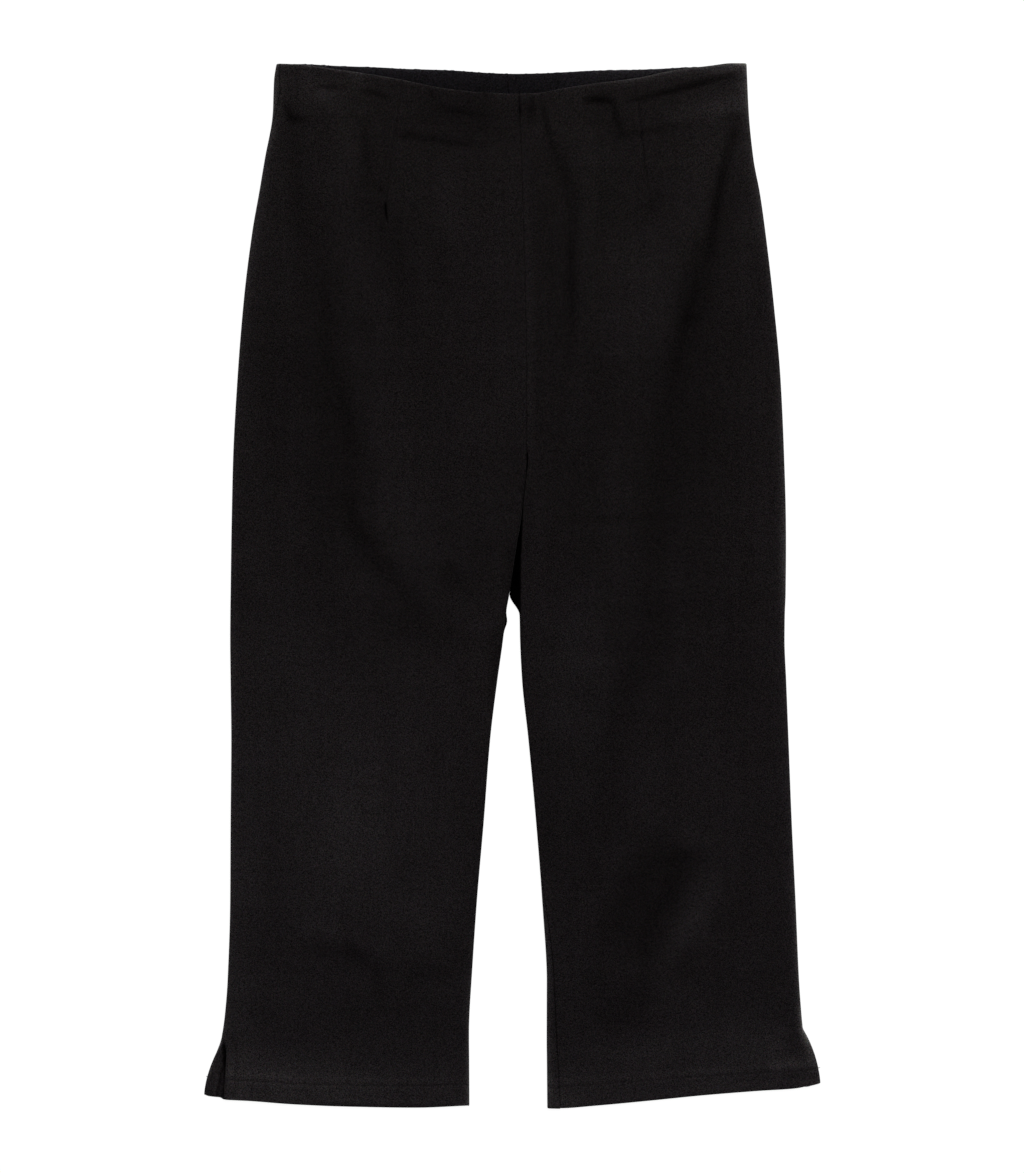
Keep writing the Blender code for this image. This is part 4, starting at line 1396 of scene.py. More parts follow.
    def to_seam(self, grid: PanelGrid) -> Grid:
        """Length of cloth from the nearest seam, near the panel's two long edges."""
        distance = np.full_like(grid.spots.across, np.inf)
        count = grid.side_along.shape[1]
        distance[:, :count] = np.abs(grid.side_along - grid.side_along[:, :1])
        distance[:, -count:] = np.abs(grid.inner_along - grid.inner_along[:, -1:])
        return distance

    def seam_groove(self, spots: Spots) -> Grid:
        """Depth of the groove at a seam: more where the seam shows on the front."""
        if self.layer is Layer.BACK:
            return np.zeros_like(spots.across)
        side_turn = self.cut.seam_turn(f"{self.leg.word}_side", spots.drop)
        inner_turn = self.cut.seam_turn(f"{self.leg.word}_inner", spots.drop)
        turned = self.turned_groove * self.turn_shows.rise(np.maximum(side_turn, inner_turn))
        centre = self.centre_groove * VALLEY_OPENS.fall(spots.drop)
        near_inner = np.abs(spots.across) < self.centre_reach
        return self.groove + np.maximum(turned, np.where(near_inner, centre, 0.0))

    def seam_dark(self, spots: Spots) -> Grid:
        """Painted shade in a seam's groove: most where it has turned onto the front, then at the
        waist.
        """
        turned = self.turned_depth.rise(self.seam_groove(spots))
        lost = self.turned_loss * self.turned_loss_at.rise(spots.drop)
        at_waist = self.waist_seam_tone * self.waist_seam_end.fall(spots.drop)
        return self.seam_tone + turned * (self.turned_tone - lost) + at_waist

    def thickness(self, row: Grid) -> Grid:
        """Thickness of the wall, more where the hem and the waist edge are turned."""
        hem = self.relief.hem_step_end.fall(LENGTH - row - self.cut.hem_depth)
        waist = self.waist_bulk_end.fall(row)
        return self.cut.cloth + self.hem_bulk * hem + self.waist_bulk * waist

    def hollows(self, spots: Spots) -> Grid:
        """Height of the back's under face: soft hollows and the sunk stitching of the hem."""
        _, across, drop, row = spots
        above = LENGTH - row
        hollow = np.maximum(self.hollow.over(across, drop) - self.hollow_level, 0.0)
        hollow = hollow * self.hollow_depth * self.hollow_margin.rise(row)
        hollow = hollow * self.hollow_margin.rise(above)
        return hollow + self.under_groove.at(above - self.cut.hem_depth)

    def inside_tone(self, spots: Spots) -> Grid:
        """Tone of the wall's inner face: painted shade at the crotch, painted shadow in the slit's
        upper end, and painted light and shade on the loose flap.
        """
        if self.layer is Layer.FRONT:
            return np.zeros_like(spots.across)
        _, across, drop, _ = spots
        crotch = self.crotch_dark.at(drop - CROTCH_DROP) * self.crotch_dark_across.at(across)
        share = self.cut.slit_share(self.leg, drop)
        from_front = np.abs(across) - np.abs(self.cut.side_rim(self.leg, Layer.FRONT, drop))
        reach = self.pocket_reach.at(share) + self.pocket_least
        pocket = np.exp(-np.abs(from_front / reach) ** self.pocket_power)
        lighter = 1.0 - self.pocket_loss * self.pocket_lightens.rise(share)
        pocket = self.pocket_dark * pocket * self.pocket_darkens.rise(share) * lighter
        return crotch - pocket + marked(FLAP_PAINTED_LIGHT, across, drop)

    def build(self) -> bpy.types.Object:
        """Make the panel.

        Returns:
            The new object.
        """
        grid = self.layout()
        outer, inner = self.surfaces(grid)
        mesh = wall_mesh(f"{self.node}_cloth", outer, inner, self.cut.centring)
        # Painted shade along the seams, added to the outer face's painted light and shade.
        seam = self.seam_dark(grid.spots) * self.seam_line.at(self.to_seam(grid))
        tone = self.nap.tone(grid.spots, self.layer) + seam
        set_tone(mesh, tone, self.inside_tone(grid.spots))
        return add_object(f"{self.node}_cloth", mesh)

    def flat_size(self) -> tuple[float, float, float]:
        """Width, length and area of the panel's cut in metres, with the cloth round its rims."""
        drop = np.linspace(0.0, LENGTH, 200)
        side = self.cut.side_rim(self.leg, self.layer, drop)
        inner = self.cut.inner_rim(self.leg, self.layer, drop)
        width = np.abs(side - inner) + 2 * self.cut.quarter_rim
        return width.max() * MM, LENGTH * MM, width.mean() * LENGTH * MM * MM

    def dress(self, piece: bpy.types.Object, material: bpy.types.Material, on: list[str]) -> None:
        """Give the panel its cloth and put it in the place of its solid.

        Args:
            piece: The panel's object.
            material: Its cloth.
            on: Names of what it rests on; not used.
        """
        piece.data.materials.append(material)
        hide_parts(self.node)
        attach(piece, "root")
        width, length, area = self.flat_size()


@dataclass
class InnerBand:
    """Half of the smooth band inside the back of the waist.

    Attributes:
        leg: The side of the body that it is on.
        fine_reach: How near the upper edge and the centre back seam its mesh is finer.
        length, turned_ends: Usual length of the half, and the cloth turned in at its ends.
        end_room: How far it ends inside the side rim.
        corner, corner_gain: Where and how much stronger the painted glow along the upper edge is at
            the sides.
        shade, left_glow: The painted shade below its upper edge and the painted light on its left
            side.
    """

    cut: Cut
    leg: Leg
    step: float = 1.6
    fine_rows: float = 0.4
    fine_columns: float = 0.3
    fine_reach: float = 2.0
    edge_rows: tuple[float, ...] = (0.0, 0.05, 0.2)
    length: float = 172.0
    turned_ends: float = 4.0
    end_room: float = 2.8
    edge_round: float = 0.4
    edge_pinch: float = 0.45
    under_pinch: float = 0.2
    frayed: Ripple = Ripple(0.3, 1.4, 1.0, 41)
    frayed_fade: Glow = Glow(1.0, 0.8)
    wave: Ripple = Ripple(0.12, 14.0, 14.0, 42)
    seam: Line = Line(-0.25, 0.0, 0.4)
    # Painted highlight along the upper edge, with a painted glow that fades downwards.
    edge: Glow = Glow(0.9, 0.7)
    edge_haze: Glow = Glow(0.5, 2.4)
    corner_gain: float = 0.6
    corner: Span = Span(40.0, 90.0)
    shade: float = -0.24
    shade_starts: Span = Span(3.0, 12.0)
    left_glow: float = 0.24
    left_starts: Span = Span(20.0, 45.0)
    mottle: Ripple = Ripple(0.08, 12.0, 12.0, 43)

    @property
    def node(self) -> str:
        """Name of the solid that this half stands for."""
        return f"back_facing_{self.leg.word}"

    def build(self) -> bpy.types.Object:
        """Make the half band.

        Returns:
            The new object.
        """
        cut = self.cut
        depth = cut.band_depth - cut.band_setback
        fine = [(0.0, self.fine_reach)]
        rows = stops(depth, self.step, fine, self.fine_rows)[1:]
        rows = np.concatenate([self.edge_rows, rows])
        fine = [(self.length, self.fine_reach)]
        share = stops(self.length, self.step, fine, self.fine_columns) / self.length
        row = np.repeat(rows[:, None], len(share), axis=1)
        drop = row.copy()
        for _ in range(SOLVING_ROUNDS):
            side = cut.side_rim(self.leg, Layer.BACK, drop) - self.leg.value * self.end_room
            inner = cut.inner_rim(self.leg, Layer.BACK, drop)
            across = side + (inner - side) * share
            drop = cut.band_setback + row + cut.waist_dip(Layer.BACK, across)
        drop = drop + self.frayed.along(across) * self.frayed_fade.at(row)
        to_seam = np.abs(across - inner)
        free = np.minimum(np.minimum(row, depth - row), to_seam)
        inset = 1.0 - np.clip(free / self.edge_round, 0.0, 1.0)
        pinch = self.edge_pinch * cut.band_cloth * (1.0 - np.sqrt(1.0 - inset**2))
        base = cut.cloth + cut.seam_gap
        top = base + cut.band_cloth - pinch + self.wave.strength + self.wave.over(across, drop)
        upper = np.stack([across, drop, top], axis=-1)
        lower = np.stack([across, drop, base + np.minimum(pinch, self.under_pinch)], axis=-1)
        mesh = wall_mesh(f"{self.node}_band", upper, lower, cut.centring)
        set_tone(mesh, self.tone(across, drop, row, to_seam), np.zeros_like(row))
        return add_object(f"{self.node}_band", mesh)

    def tone(self, across: Grid, drop: Grid, row: Grid, to_seam: Grid) -> Grid:
        """Painted light and shade of the band's outer face, with its seam line and mottle.

        Args:
            across: Places across.
            drop: Places down.
            row: Distance below the band's upper edge.
            to_seam: Distance from the centre back seam.

        Returns:
            The tone.
        """
        haze = self.edge_haze.strength + self.corner_gain * self.corner.rise(np.abs(across))
        edge = self.edge.at(row) + haze * np.exp(-row / self.edge_haze.reach)
        shade = self.shade * self.shade_starts.rise(row)
        left = self.left_glow * self.left_starts.rise(across)
        return self.seam.at(to_seam) + edge + shade + left + self.mottle.over(across, drop)

    def dress(self, piece: bpy.types.Object, material: bpy.types.Material) -> None:
        """Give the half band its finish and put it in the place of its solid.

        Args:
            piece: The half band's object.
            material: Its finish.
        """
        piece.data.materials.append(material)
        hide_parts(self.node)
        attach(piece, "root")
        size = ((self.length + self.turned_ends) * MM, self.cut.band_depth * MM)


class NodeTree:
    """Short calls for building a node tree."""

    def __init__(self, tree: bpy.types.NodeTree) -> None:
        """Keep the tree.

        Args:
            tree: The tree to build in.
        """
        self.tree = tree

    def node(self, kind: str, settings: dict | None = None, **inputs: object) -> bpy.types.Node:
        """Add a node.

        Args:
            kind: The node's type.
            settings: Its properties.
            **inputs: Its inputs by name with spaces as underscores: values or sockets.

        Returns:
            The new node.
        """
        added = self.tree.nodes.new(kind)
        for name, value in (settings or {}).items():
            setattr(added, name, value)
        for name, value in inputs.items():
            socket = added.inputs[name.replace("_", " ")]
            self.feed(socket, value)
        return added

    def feed(self, socket: bpy.types.NodeSocket, value: object) -> None:
        """Link a socket or set its value."""
        if isinstance(value, bpy.types.NodeSocket):
            self.tree.links.new(value, socket)
        else:
            socket.default_value = value

    def math(self, operation: str, *values: object) -> bpy.types.NodeSocket:
        """Add a math node.

        Args:
            operation: The operation.
            *values: Its inputs in order.

        Returns:
            Its result.
        """
        added = self.tree.nodes.new("ShaderNodeMath")
        added.operation = operation
        for socket, value in zip(added.inputs, values):
            self.feed(socket, value)
        return added.outputs[0]


def shader_group(
    name: str, inputs: dict[str, float | Colour], outputs: dict[str, str]
) -> bpy.types.NodeTree:
    """Start a shader node group.

    Args:
        name: The group's name.
        inputs: Its inputs with their values, numbers or colours.
        outputs: Its outputs with their kinds, Float or Color.

    Returns:
        The new group.
    """
    group = bpy.data.node_groups.new(name, "ShaderNodeTree")
    for label, value in inputs.items():
        kind = "NodeSocketColor" if isinstance(value, tuple) else "NodeSocketFloat"
        socket = group.interface.new_socket(label, in_out="INPUT", socket_type=kind)
        socket.default_value = value
    for label, kind in outputs.items():
        group.interface.new_socket(label, in_out="OUTPUT", socket_type=f"NodeSocket{kind}")
    return group


class Noise(NamedTuple):
    """One noise of the weave: its waves a metre along each axis, its turn and its detail."""

    scale: tuple[float, float, float]
    turn: float = 0.0
    detail: float = 2.0


WEAVE_NOISES = {
    "mottle": Noise((1060.0, 1060.0, 1060.0), 0.6, 3.0),
    "grain": Noise((2300.0, 2300.0, 2300.0), 1.1),
    "red": Noise((1400.0, 1400.0, 1400.0), 0.9),
    "green": Noise((1450.0, 1450.0, 1450.0), 1.4),
    "blue": Noise((1350.0, 1350.0, 1350.0), 0.4),
    "weft": Noise((70.0, 1250.0, 70.0)),
    "warp": Noise((1250.0, 70.0, 70.0)),
    "drift": Noise((28.0, 28.0, 28.0)),
}


def weave_noise(
    nodes: NodeTree, place: bpy.types.NodeSocket, kind: Noise
) -> bpy.types.NodeSocket:
    """Add a noise of the weave, from about -0.5 to 0.5.

    Args:
        nodes: The weave's tree.
        place: Places on the cloth.
        kind: The noise.

    Returns:
        Its value.
    """
    turn = (kind.turn, 0.8 * kind.turn, 0.7 * kind.turn)
    turned = nodes.node("ShaderNodeMapping", Vector=place, Rotation=turn).outputs[0]
    scaled = nodes.node("ShaderNodeMapping", Vector=turned, Scale=kind.scale).outputs[0]
    texture = nodes.node(
        "ShaderNodeTexNoise", Vector=scaled, Scale=1.0, Detail=kind.detail, Roughness=0.8
    )
    return nodes.math("SUBTRACT", texture.outputs["Fac"], 0.5)


def weave_group() -> bpy.types.NodeTree:
    """Colour and height of a woven cloth with mottle, slubs and threads of uneven hue; painted
    light lightens it and turns it cooler and greyer, painted shade darkens it and turns it warmer.
    """
    black = (0.006, 0.005, 0.005, 1.0)
    sizes = {"Nap": 0.0, "Mottle": 3.0, "Slub": 0.3, "Drift": 0.2, "Hue": 0.8}
    group = shader_group(
        "weave", {"Warm": black, "Cool": black, **sizes}, {"Colour": "Color", "Height": "Float"}
    )
    nodes = NodeTree(group)
    given = group.nodes.new("NodeGroupInput").outputs
    place = nodes.node("ShaderNodeTexCoord").outputs["Object"]
    noise = {name: weave_noise(nodes, place, kind) for name, kind in WEAVE_NOISES.items()}
    speckle = nodes.math("ADD", noise["mottle"], noise["grain"])
    slub = nodes.math("ADD", noise["weft"], noise["warp"])
    tone = nodes.math("MULTIPLY_ADD", speckle, given["Mottle"], 1.0)
    tone = nodes.math("MULTIPLY_ADD", slub, given["Slub"], tone)
    tone = nodes.math("MULTIPLY_ADD", noise["drift"], given["Drift"], tone)
    tone = nodes.math("MAXIMUM", tone, LEAST_TONE)
    # Painted light and shade scale the tone.
    tone = nodes.math("MULTIPLY", tone, nodes.math("EXPONENT", given["Nap"]))
    upright = nodes.node("ShaderNodeSeparateXYZ", Vector=place).outputs["Y"]
    drifting = nodes.math("MULTIPLY", noise["drift"], COOL_BY_DRIFT)
    broad = nodes.math("MULTIPLY_ADD", upright, COOL_BY_HEIGHT, drifting)
    # Painted light turns the hue cooler, painted shade warmer.
    coolness = nodes.math("MULTIPLY_ADD", given["Nap"], COOL_IN_PAINTED_LIGHT, COOL_IN_MIDDLE)
    hue = nodes.node("ShaderNodeMix", {"data_type": "RGBA"})
    nodes.feed(hue.inputs[0], nodes.math("ADD", coolness, broad))
    nodes.feed(hue.inputs[6], given["Warm"])
    nodes.feed(hue.inputs[7], given["Cool"])
    # Painted highlights turn it a little greyer.
    painted_highlight = nodes.math("MAXIMUM", given["Nap"], 0.0)
    greyer = nodes.math("MULTIPLY_ADD", painted_highlight, GREY_IN_PAINTED_LIGHT, 1.0)
    threads = nodes.node(
        "ShaderNodeCombineXYZ",
        X=nodes.math("MULTIPLY_ADD", noise["red"], given["Hue"], 1.0),
        Y=nodes.math("MULTIPLY_ADD", noise["green"], given["Hue"], greyer),
        Z=nodes.math("MULTIPLY_ADD", noise["blue"], given["Hue"], 1.0),
    )
    mingled = nodes.node("ShaderNodeVectorMath", {"operation": "MULTIPLY"})
    nodes.feed(mingled.inputs[0], hue.outputs[2])
    nodes.feed(mingled.inputs[1], threads.outputs[0])
    toned = nodes.node("ShaderNodeVectorMath", {"operation": "SCALE"}, Scale=tone)
    nodes.feed(toned.inputs[0], mingled.outputs[0])
    result = group.nodes.new("NodeGroupOutput")
    nodes.feed(result.inputs["Colour"], toned.outputs[0])
    nodes.feed(result.inputs["Height"], nodes.math("ADD", speckle, slub))
    return group


def lint_group() -> bpy.types.NodeTree:
    """Cloth with sparse pale specks of lint."""
    colours = {"Cloth": (0.0, 0.0, 0.0, 1.0), "Speck": (1.0, 1.0, 1.0, 1.0)}
    sizes = {"Density": 30.0, "Size": 0.012}
    group = shader_group("lint", {**colours, **sizes}, {"Colour": "Color"})
    nodes = NodeTree(group)
    given = group.nodes.new("NodeGroupInput").outputs
    place = nodes.node("ShaderNodeTexCoord").outputs["Object"]
    flat = nodes.node("ShaderNodeMapping", Vector=place, Scale=(1.0, 1.0, 0.0)).outputs[0]
    cells = nodes.node("ShaderNodeTexVoronoi", Vector=flat, Scale=given["Density"], Randomness=1.0)
    near = nodes.math("LESS_THAN", cells.outputs["Distance"], given["Size"])
    chosen = nodes.node("ShaderNodeSeparateColor", Color=cells.outputs["Color"]).outputs[0]
    kept = nodes.math("GREATER_THAN", chosen, EMPTY_LINT_CELLS)
    mixed = nodes.node("ShaderNodeMix", {"data_type": "RGBA"})
    nodes.feed(mixed.inputs[0], nodes.math("MULTIPLY", near, kept))
    nodes.feed(mixed.inputs[6], given["Cloth"])
    nodes.feed(mixed.inputs[7], given["Speck"])
    result = group.nodes.new("NodeGroupOutput")
    nodes.feed(result.inputs["Colour"], mixed.outputs[2])
    return group


@dataclass
class SharedEffects:
    """Node groups that more than one finish uses."""

    weave: bpy.types.NodeTree
    lint: bpy.types.NodeTree


@dataclass(frozen=True)
class Weave:
    """Settings of the shared weave and lint."""

    warm: Colour
    cool: Colour
    speck: Colour
    mottle: float = 6.4
    slub: float = 0.3
    drift: float = 0.2
    hue: float = 1.8
    speck_density: float = 30.0
    speck_size: float = 0.012

    def add(self, nodes: NodeTree, effects: SharedEffects) -> tuple[bpy.types.Node, bpy.types.Node]:
        """Add the weave with its lint to a material.

        Args:
            nodes: The material's tree.
            effects: The shared node groups.

        Returns:
            The weave's node, for its height, and the lint's, for the colour.
        """
        # The attribute holds the painted light and shade, with random streaks.
        nap = nodes.node("ShaderNodeAttribute", {"attribute_name": "nap"}).outputs["Fac"]
        weave = nodes.node(
            "ShaderNodeGroup",
            {"node_tree": effects.weave},
            Warm=self.warm,
            Cool=self.cool,
            Nap=nap,
            Mottle=self.mottle,
            Slub=self.slub,
            Drift=self.drift,
            Hue=self.hue,
        )
        lint = nodes.node(
            "ShaderNodeGroup",
            {"node_tree": effects.lint},
            Cloth=weave.outputs["Colour"],
            Speck=self.speck,
            Density=self.speck_density,
            Size=self.speck_size,
        )
        return weave, lint


def start_material(name: str) -> tuple[bpy.types.Material, NodeTree, bpy.types.Node]:
    """Start a material.

    Args:
        name: Its name.

    Returns:
        The material, its tree and its shader.
    """
    material = bpy.data.materials.new(name)
    material.use_nodes = True
    return material, NodeTree(material.node_tree), material.node_tree.nodes["Principled BSDF"]


@dataclass(frozen=True)
class ClothFinish:
    """Matt black woven cloth, with painted light on its raised folds and painted shade in its
    troughs.
    """

    weave: Weave = Weave(
        warm=(0.0064, 0.0053, 0.00545, 1.0),
        cool=(0.0063, 0.0052, 0.0058, 1.0),
        speck=(0.03, 0.028, 0.027, 1.0),
    )
    roughness: float = 0.85
    specular: float = 0.02
    sheen: float = 0.04
    sheen_roughness: float = 0.3
    bump: float = 0.00012
    bump_strength: float = 0.6

    def make(self, name: str, effects: SharedEffects) -> bpy.types.Material:
        """Build the material.

        Args:
            name: Its name.
            effects: The shared node groups.

        Returns:
            The material.
        """
        material, nodes, shader = start_material(name)
        weave, lint = self.weave.add(nodes, effects)
        nap = nodes.node("ShaderNodeAttribute", {"attribute_name": "nap"}).outputs["Fac"]
        # Painted shade also dims the gloss and the sheen.
        lit = nodes.math("MINIMUM", nodes.math("EXPONENT", nap), 1.0)
        bump = nodes.node(
            "ShaderNodeBump",
            Strength=self.bump_strength,
            Distance=self.bump,
            Height=weave.outputs["Height"],
        )
        for label, value in {
            "Base Color": lint.outputs["Colour"],
            "Roughness": self.roughness,
            "Specular IOR Level": nodes.math("MULTIPLY", lit, self.specular),
            "Sheen Weight": nodes.math("MULTIPLY", lit, self.sheen),
            "Sheen Roughness": self.sheen_roughness,
            "Normal": bump.outputs[0],
        }.items():
            nodes.feed(shader.inputs[label], value)
        return material


@dataclass(frozen=True)
class BandFinish:
    """Smooth bluish black stretch band with fine upright ribs."""

    weave: Weave = Weave(
        warm=(0.0044, 0.0038, 0.0046, 1.0),
        cool=(0.0044, 0.0038, 0.0048, 1.0),
        speck=(0.0105, 0.0098, 0.0125, 1.0),
        mottle=10.0,
        hue=2.0,
        speck_density=420.0,
        speck_size=0.16,
    )
    roughness: float = 0.7
    specular: float = 0.02
    rib_scale: float = 900.0
    bump: float = 0.0001
    bump_strength: float = 0.5

    def make(self, name: str, effects: SharedEffects) -> bpy.types.Material:
        """Build the material.

        Args:
            name: Its name.
            effects: The shared node groups.

        Returns:
            The material.
        """
        material, nodes, shader = start_material(name)
        weave, lint = self.weave.add(nodes, effects)
        place = nodes.node("ShaderNodeTexCoord").outputs["Object"]
        ribs = nodes.node(
            "ShaderNodeTexWave", {"bands_direction": "X"}, Vector=place, Scale=self.rib_scale
        )
        height = nodes.math("ADD", ribs.outputs["Fac"], weave.outputs["Height"])
        bump = nodes.node(
            "ShaderNodeBump", Strength=self.bump_strength, Distance=self.bump, Height=height
        )
        nodes.feed(shader.inputs["Base Color"], lint.outputs["Colour"])
        nodes.feed(shader.inputs["Roughness"], self.roughness)
        nodes.feed(shader.inputs["Specular IOR Level"], self.specular)
        nodes.feed(shader.inputs["Normal"], bump.outputs[0])
        return material


@dataclass(frozen=True)
class ThreadFinish:
    """Black sewing thread with a dull gleam."""

    colour: Colour = (0.006, 0.0054, 0.0056, 1.0)
    roughness: float = 0.5
    specular: float = 0.05
    twist_scale: float = 900.0
    twist_tone: float = 0.8
    least_tone: float = 0.6

    def make(self, name: str) -> bpy.types.Material:
        """Build the material.

        Args:
            name: Its name.

        Returns:
            The material.
        """
        material, nodes, shader = start_material(name)
        place = nodes.node("ShaderNodeTexCoord").outputs["Object"]
        twist = nodes.node("ShaderNodeTexNoise", Vector=place, Scale=self.twist_scale, Detail=1.0)
        tone = nodes.math("MULTIPLY_ADD", twist.outputs["Fac"], self.twist_tone, self.least_tone)
        tinted = nodes.node("ShaderNodeVectorMath", {"operation": "SCALE"}, Scale=tone)
        tinted.inputs[0].default_value = self.colour[:3]
        nodes.feed(shader.inputs["Base Color"], tinted.outputs[0])
        nodes.feed(shader.inputs["Roughness"], self.roughness)
        nodes.feed(shader.inputs["Specular IOR Level"], self.specular)
        return material


@dataclass
class Stitching:
    """A row of stitches along a line that lies on the cloth.

    Attributes:
        name: Name of the piece.
        line: Points of the line in metres.
        pitch: Distance from stitch to stitch.
        wobble: Greatest small turn of a stitch about each axis, in radians.
        segments, rings: How finely a stitch is modelled.
    """

    name: str
    line: Grid
    pitch: float = 3.0
    length: float = 2.3
    thread: float = 0.42
    wobble: tuple[float, float, float] = (0.05, 0.05, 0.12)
    seed: int = 5
    segments: int = 8
    rings: int = 6

    @property
    def sizes(self) -> dict[str, float | int]:
        """Named inputs of the tree: lengths in metres and the seed."""
        lengths = {"Pitch": self.pitch, "Length": self.length, "Thread": self.thread}
        return {**{label: size * MM for label, size in lengths.items()}, "Seed": self.seed}

    def tree(self, material: bpy.types.Material) -> bpy.types.NodeTree:
        """Build the geometry nodes that lay the stitches.

        Args:
            material: The thread.

        Returns:
            The node tree.
        """
        group = bpy.data.node_groups.new(f"{self.name}_stitches", "GeometryNodeTree")
        group.interface.new_socket("Line", in_out="INPUT", socket_type="NodeSocketGeometry")
        for label, value in self.sizes.items():
            kind = "NodeSocketInt" if isinstance(value, int) else "NodeSocketFloat"
            socket = group.interface.new_socket(label, in_out="INPUT", socket_type=kind)
            socket.default_value = value
        group.interface.new_socket("Stitches", in_out="OUTPUT", socket_type="NodeSocketGeometry")
        nodes = NodeTree(group)
        given = group.nodes.new("NodeGroupInput").outputs
        curve = nodes.node("GeometryNodeMeshToCurve", Mesh=given["Line"]).outputs[0]
        points = nodes.node(
            "GeometryNodeCurveToPoints", {"mode": "LENGTH"}, Curve=curve, Length=given["Pitch"]
        ).outputs
        turn = nodes.node(
            "FunctionNodeAlignRotationToVector", {"axis": "X"}, Vector=points["Tangent"]
        )
        wobble = nodes.node(
            "FunctionNodeRandomValue", {"data_type": "FLOAT_VECTOR"}, Seed=given["Seed"]
        )
        wobble.inputs[0].default_value = [-reach for reach in self.wobble]
        wobble.inputs[1].default_value = self.wobble
        turned = nodes.node("FunctionNodeRotateRotation", Rotation=turn.outputs[0])
        nodes.feed(turned.inputs[1], wobble.outputs[0])
        bead = nodes.node(
            "GeometryNodeMeshUVSphere", Segments=self.segments, Rings=self.rings, Radius=0.5
        ).outputs["Mesh"]
        size = nodes.node(
            "ShaderNodeCombineXYZ", X=given["Length"], Y=given["Thread"], Z=given["Thread"]
        ).outputs[0]
        shaped = nodes.node("GeometryNodeTransform", Geometry=bead, Scale=size).outputs[0]
        smooth = nodes.node("GeometryNodeSetShadeSmooth", Geometry=shaped).outputs[0]
        laid = nodes.node(
            "GeometryNodeInstanceOnPoints",
            Points=points["Points"],
            Instance=smooth,
            Rotation=turned.outputs[0],
        )
        real = nodes.node("GeometryNodeRealizeInstances", Geometry=laid.outputs[0]).outputs[0]
        dressed = nodes.node("GeometryNodeSetMaterial", Geometry=real, Material=material)
        result = group.nodes.new("NodeGroupOutput")
        nodes.feed(result.inputs[0], dressed.outputs[0])
        return group

    def build(self, material: bpy.types.Material) -> bpy.types.Object:
        """Lay the stitches and turn them into a plain mesh.

        Args:
            material: The thread.

        Returns:
            The new object.
        """
        mesh = bpy.data.meshes.new(self.name)
        count = len(self.line)
        mesh.from_pydata(self.line.tolist(), [(i, i + 1) for i in range(count - 1)], [])
        holder = add_object(f"{self.name}_line", mesh)
        modifier = holder.modifiers.new("stitches", "NODES")
        modifier.node_group = self.tree(material)
        for item in modifier.node_group.interface.items_tree:
            if item.in_out == "INPUT" and item.name in self.sizes:
                modifier[item.identifier] = self.sizes[item.name]
        shape = holder.evaluated_get(bpy.context.evaluated_depsgraph_get())
        plain = bpy.data.meshes.new_from_object(shape)
        bpy.data.objects.remove(holder)
        plain.name = self.name
        piece = add_object(self.name, plain)
        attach(piece, "root")
        return piece


@dataclass
class HemSewing:
    """Topstitching of one panel: along its hem and beside its slit.

    Attributes:
        sink, under: Height of the thread's middle over the front's face and under the back.
        side_end, inner_end: How far the hem's line ends inside the side and the inner rim.
        slit_over, slit_end: How far the slit's line starts above the slit and ends above
            the hem's line.
    """

    panel: LegPanel
    sink: float = 0.05
    under: float = 0.22
    side_end: float = 1.5
    inner_end: float = 2.2
    slit_over: float = 2.0
    slit_end: float = 0.5
    hem_points: int = 160
    slit_points: int = 60
    slit_seed: int = 8

    def surface_line(self, across: Grid, row: Grid) -> Grid:
        """Points on the panel's outer face, in metres.

        Args:
            across: Places across.
            row: Level rows.

        Returns:
            The points.
        """
        panel, cut = self.panel, self.panel.cut
        drop = cut.true_drop(panel.leg, panel.layer, across, row)
        if panel.layer is Layer.FRONT:
            height = panel.relief.height(Spots(panel.leg, across, drop, row)) + self.sink
        else:
            height = np.full_like(across, self.under)
        return in_metres(np.stack([across, drop, height], axis=-1), cut.centring)

    def hem_line(self) -> Grid:
        """The line of the hem's stitching."""
        panel, cut = self.panel, self.panel.cut
        way = panel.leg.value
        drop = np.asarray(LENGTH - cut.hem_depth)
        inner_turn = float(cut.seam_turn(f"{panel.leg.word}_inner", drop))
        turned = inner_turn if panel.layer is Layer.FRONT else 0.0
        side = cut.side_rim(panel.leg, panel.layer, drop) - way * self.side_end
        inner = cut.inner_rim(panel.leg, panel.layer, drop)
        inner = inner + way * (self.inner_end + max(0.0, turned - cut.quarter_rim))
        across = np.linspace(side, inner, self.hem_points)
        return self.surface_line(across, np.full_like(across, LENGTH - cut.hem_depth))

    def slit_line(self) -> Grid:
        """The line of the stitching beside the slit."""
        panel, cut = self.panel, self.panel.cut
        start = SLITS[panel.leg].top - self.slit_over
        end = LENGTH - cut.hem_depth - self.slit_end
        rows = np.linspace(start, end, self.slit_points)
        drop = rows
        for _ in range(SOLVING_ROUNDS):
            side = cut.side_rim(panel.leg, panel.layer, drop)
            across = side - panel.leg.value * cut.slit_margin
            drop = cut.true_drop(panel.leg, panel.layer, across, rows)
        return self.surface_line(across, rows)

    def build(self, material: bpy.types.Material) -> None:
        """Sew both lines.

        Args:
            material: The thread.
        """
        name = self.panel.node
        Stitching(f"{name}_hem_stitches", self.hem_line()).build(material)
        slit = Stitching(f"{name}_slit_stitches", self.slit_line(), seed=self.slit_seed)
        slit.build(material)


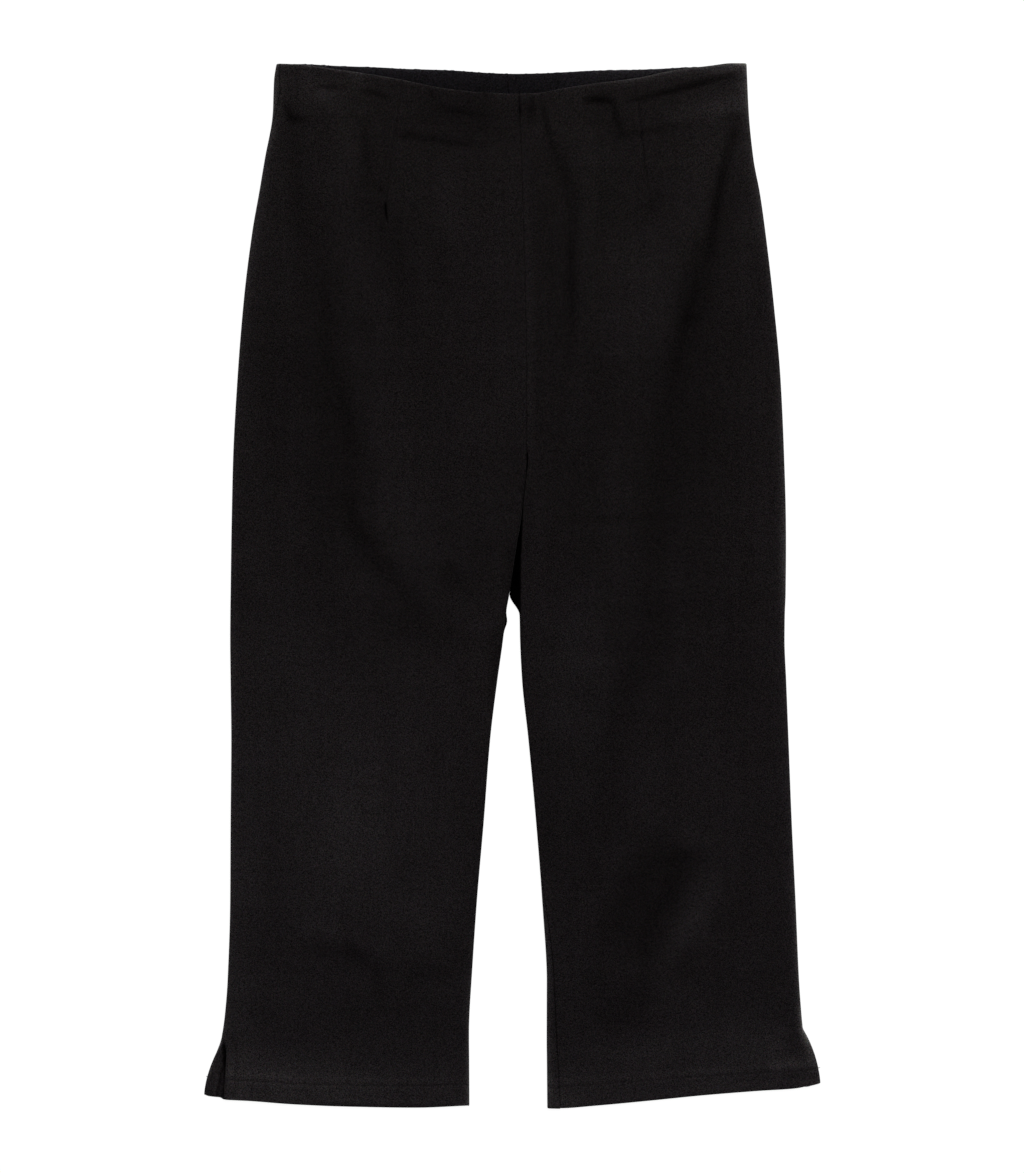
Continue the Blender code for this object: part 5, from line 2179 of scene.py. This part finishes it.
@dataclass
class Studio:
    """A plain pale floor, soft light and a camera that looks straight down.

    Its sizes are in metres.

    Attributes:
        pixel: Size of one picture element on the table.
        picture: Width and height of the picture in such elements.
        centre: Place at the middle of the picture.
        camera_height: Height of the camera over the garment's upper face.
        sensor: Height of the camera's sensor in its millimetres.
        floor_half: Half of the floor's side.
        floor_glow: The floor's own light, which keeps it evenly pale.
        key_power: Power of the lamp in watts.
    """

    pixel: float = 0.0007285
    picture: tuple[int, int] = (1024, 1173)
    centre: tuple[float, float] = (0.00034, -0.0004)
    camera_height: float = 3.0
    garment_height: float = 0.004
    sensor: float = 24.0
    view_depth: float = 50.0
    floor_half: float = 6.0
    floor_level: float = -0.0002
    floor_grey: float = 0.1
    floor_glow: float = 0.93
    sky_strength: float = 0.42
    key_place: tuple[float, float, float] = (0.7, 1.0, 2.5)
    key_size: float = 1.5
    key_power: float = 60.0

    def floor(self) -> None:
        """Lay the floor."""
        half, level = self.floor_half, self.floor_level
        corners = [(x, y, level) for x, y in ((-half, -half), (half, -half), (half, half))]
        mesh = bpy.data.meshes.new("floor")
        mesh.from_pydata([*corners, (-half, half, level)], [], [(0, 1, 2, 3)])
        material, nodes, shader = start_material("pale_floor")
        for label, value in {
            "Base Color": (self.floor_grey, self.floor_grey, self.floor_grey, 1.0),
            "Roughness": 0.9,
            "Specular IOR Level": 0.0,
            "Emission Color": WHITE,
            "Emission Strength": self.floor_glow,
        }.items():
            nodes.feed(shader.inputs[label], value)
        mesh.materials.append(material)
        add_object("floor", mesh)

    def key_light(self) -> None:
        """Hang a soft square lamp that points at the garment."""
        lamp = bpy.data.lights.new("key", "AREA")
        lamp.shape = "SQUARE"
        lamp.size = self.key_size
        lamp.energy = self.key_power
        holder = add_object("key", lamp)
        holder.location = self.key_place
        away = np.array(self.key_place) / np.linalg.norm(self.key_place)
        turn = math.atan2(away[1], away[0]) + math.pi / 2
        holder.rotation_euler = (math.acos(away[2]), 0.0, turn)

    def sky(self) -> None:
        """Fill the room with plain soft light."""
        world = bpy.data.worlds.new("room")
        world.use_nodes = True
        background = world.node_tree.nodes["Background"]
        background.inputs["Color"].default_value = WHITE
        background.inputs["Strength"].default_value = self.sky_strength
        bpy.context.scene.world = world

    def camera(self) -> None:
        """Set the camera straight above the garment."""
        lens = bpy.data.cameras.new("camera")
        lens.sensor_fit = "VERTICAL"
        lens.sensor_height = self.sensor
        lens.lens = self.sensor * self.camera_height / (self.picture[1] * self.pixel)
        lens.clip_end = self.view_depth
        holder = add_object("camera", lens)
        holder.location = (*self.centre, self.camera_height + self.garment_height)
        bpy.context.scene.camera = holder

    def build(self) -> None:
        """Set up the studio."""
        self.floor()
        self.camera()
        self.sky()
        self.key_light()
        bpy.context.scene.view_settings.view_transform = "Standard"


def main() -> None:
    """Build the trousers and the studio."""
    logging.basicConfig(level=logging.INFO, format="%(message)s")
    effects = SharedEffects(weave_group(), lint_group())
    cloth = ClothFinish().make("black_cloth", effects)
    band = BandFinish().make("inner_band", effects)
    thread = ThreadFinish().make("black_thread")
    cut = Cut()
    nap = Nap(Relief(cut))
    for layer in (Layer.BACK, Layer.FRONT):
        for leg in Leg:
            panel = LegPanel(nap, leg, layer)
            piece = panel.build()
            rests = [] if layer is Layer.BACK else [f"back_{leg.word}_cloth"]
            panel.dress(piece, cloth, rests)
            HemSewing(panel).build(thread)
            LOG.info("%s: %d faces", piece.name, len(piece.data.polygons))
    for leg in Leg:
        half = InnerBand(cut, leg)
        piece = half.build()
        half.dress(piece, band)
        LOG.info("%s: %d faces", piece.name, len(piece.data.polygons))
    Studio().build()


if __name__ == "__main__":
    main()
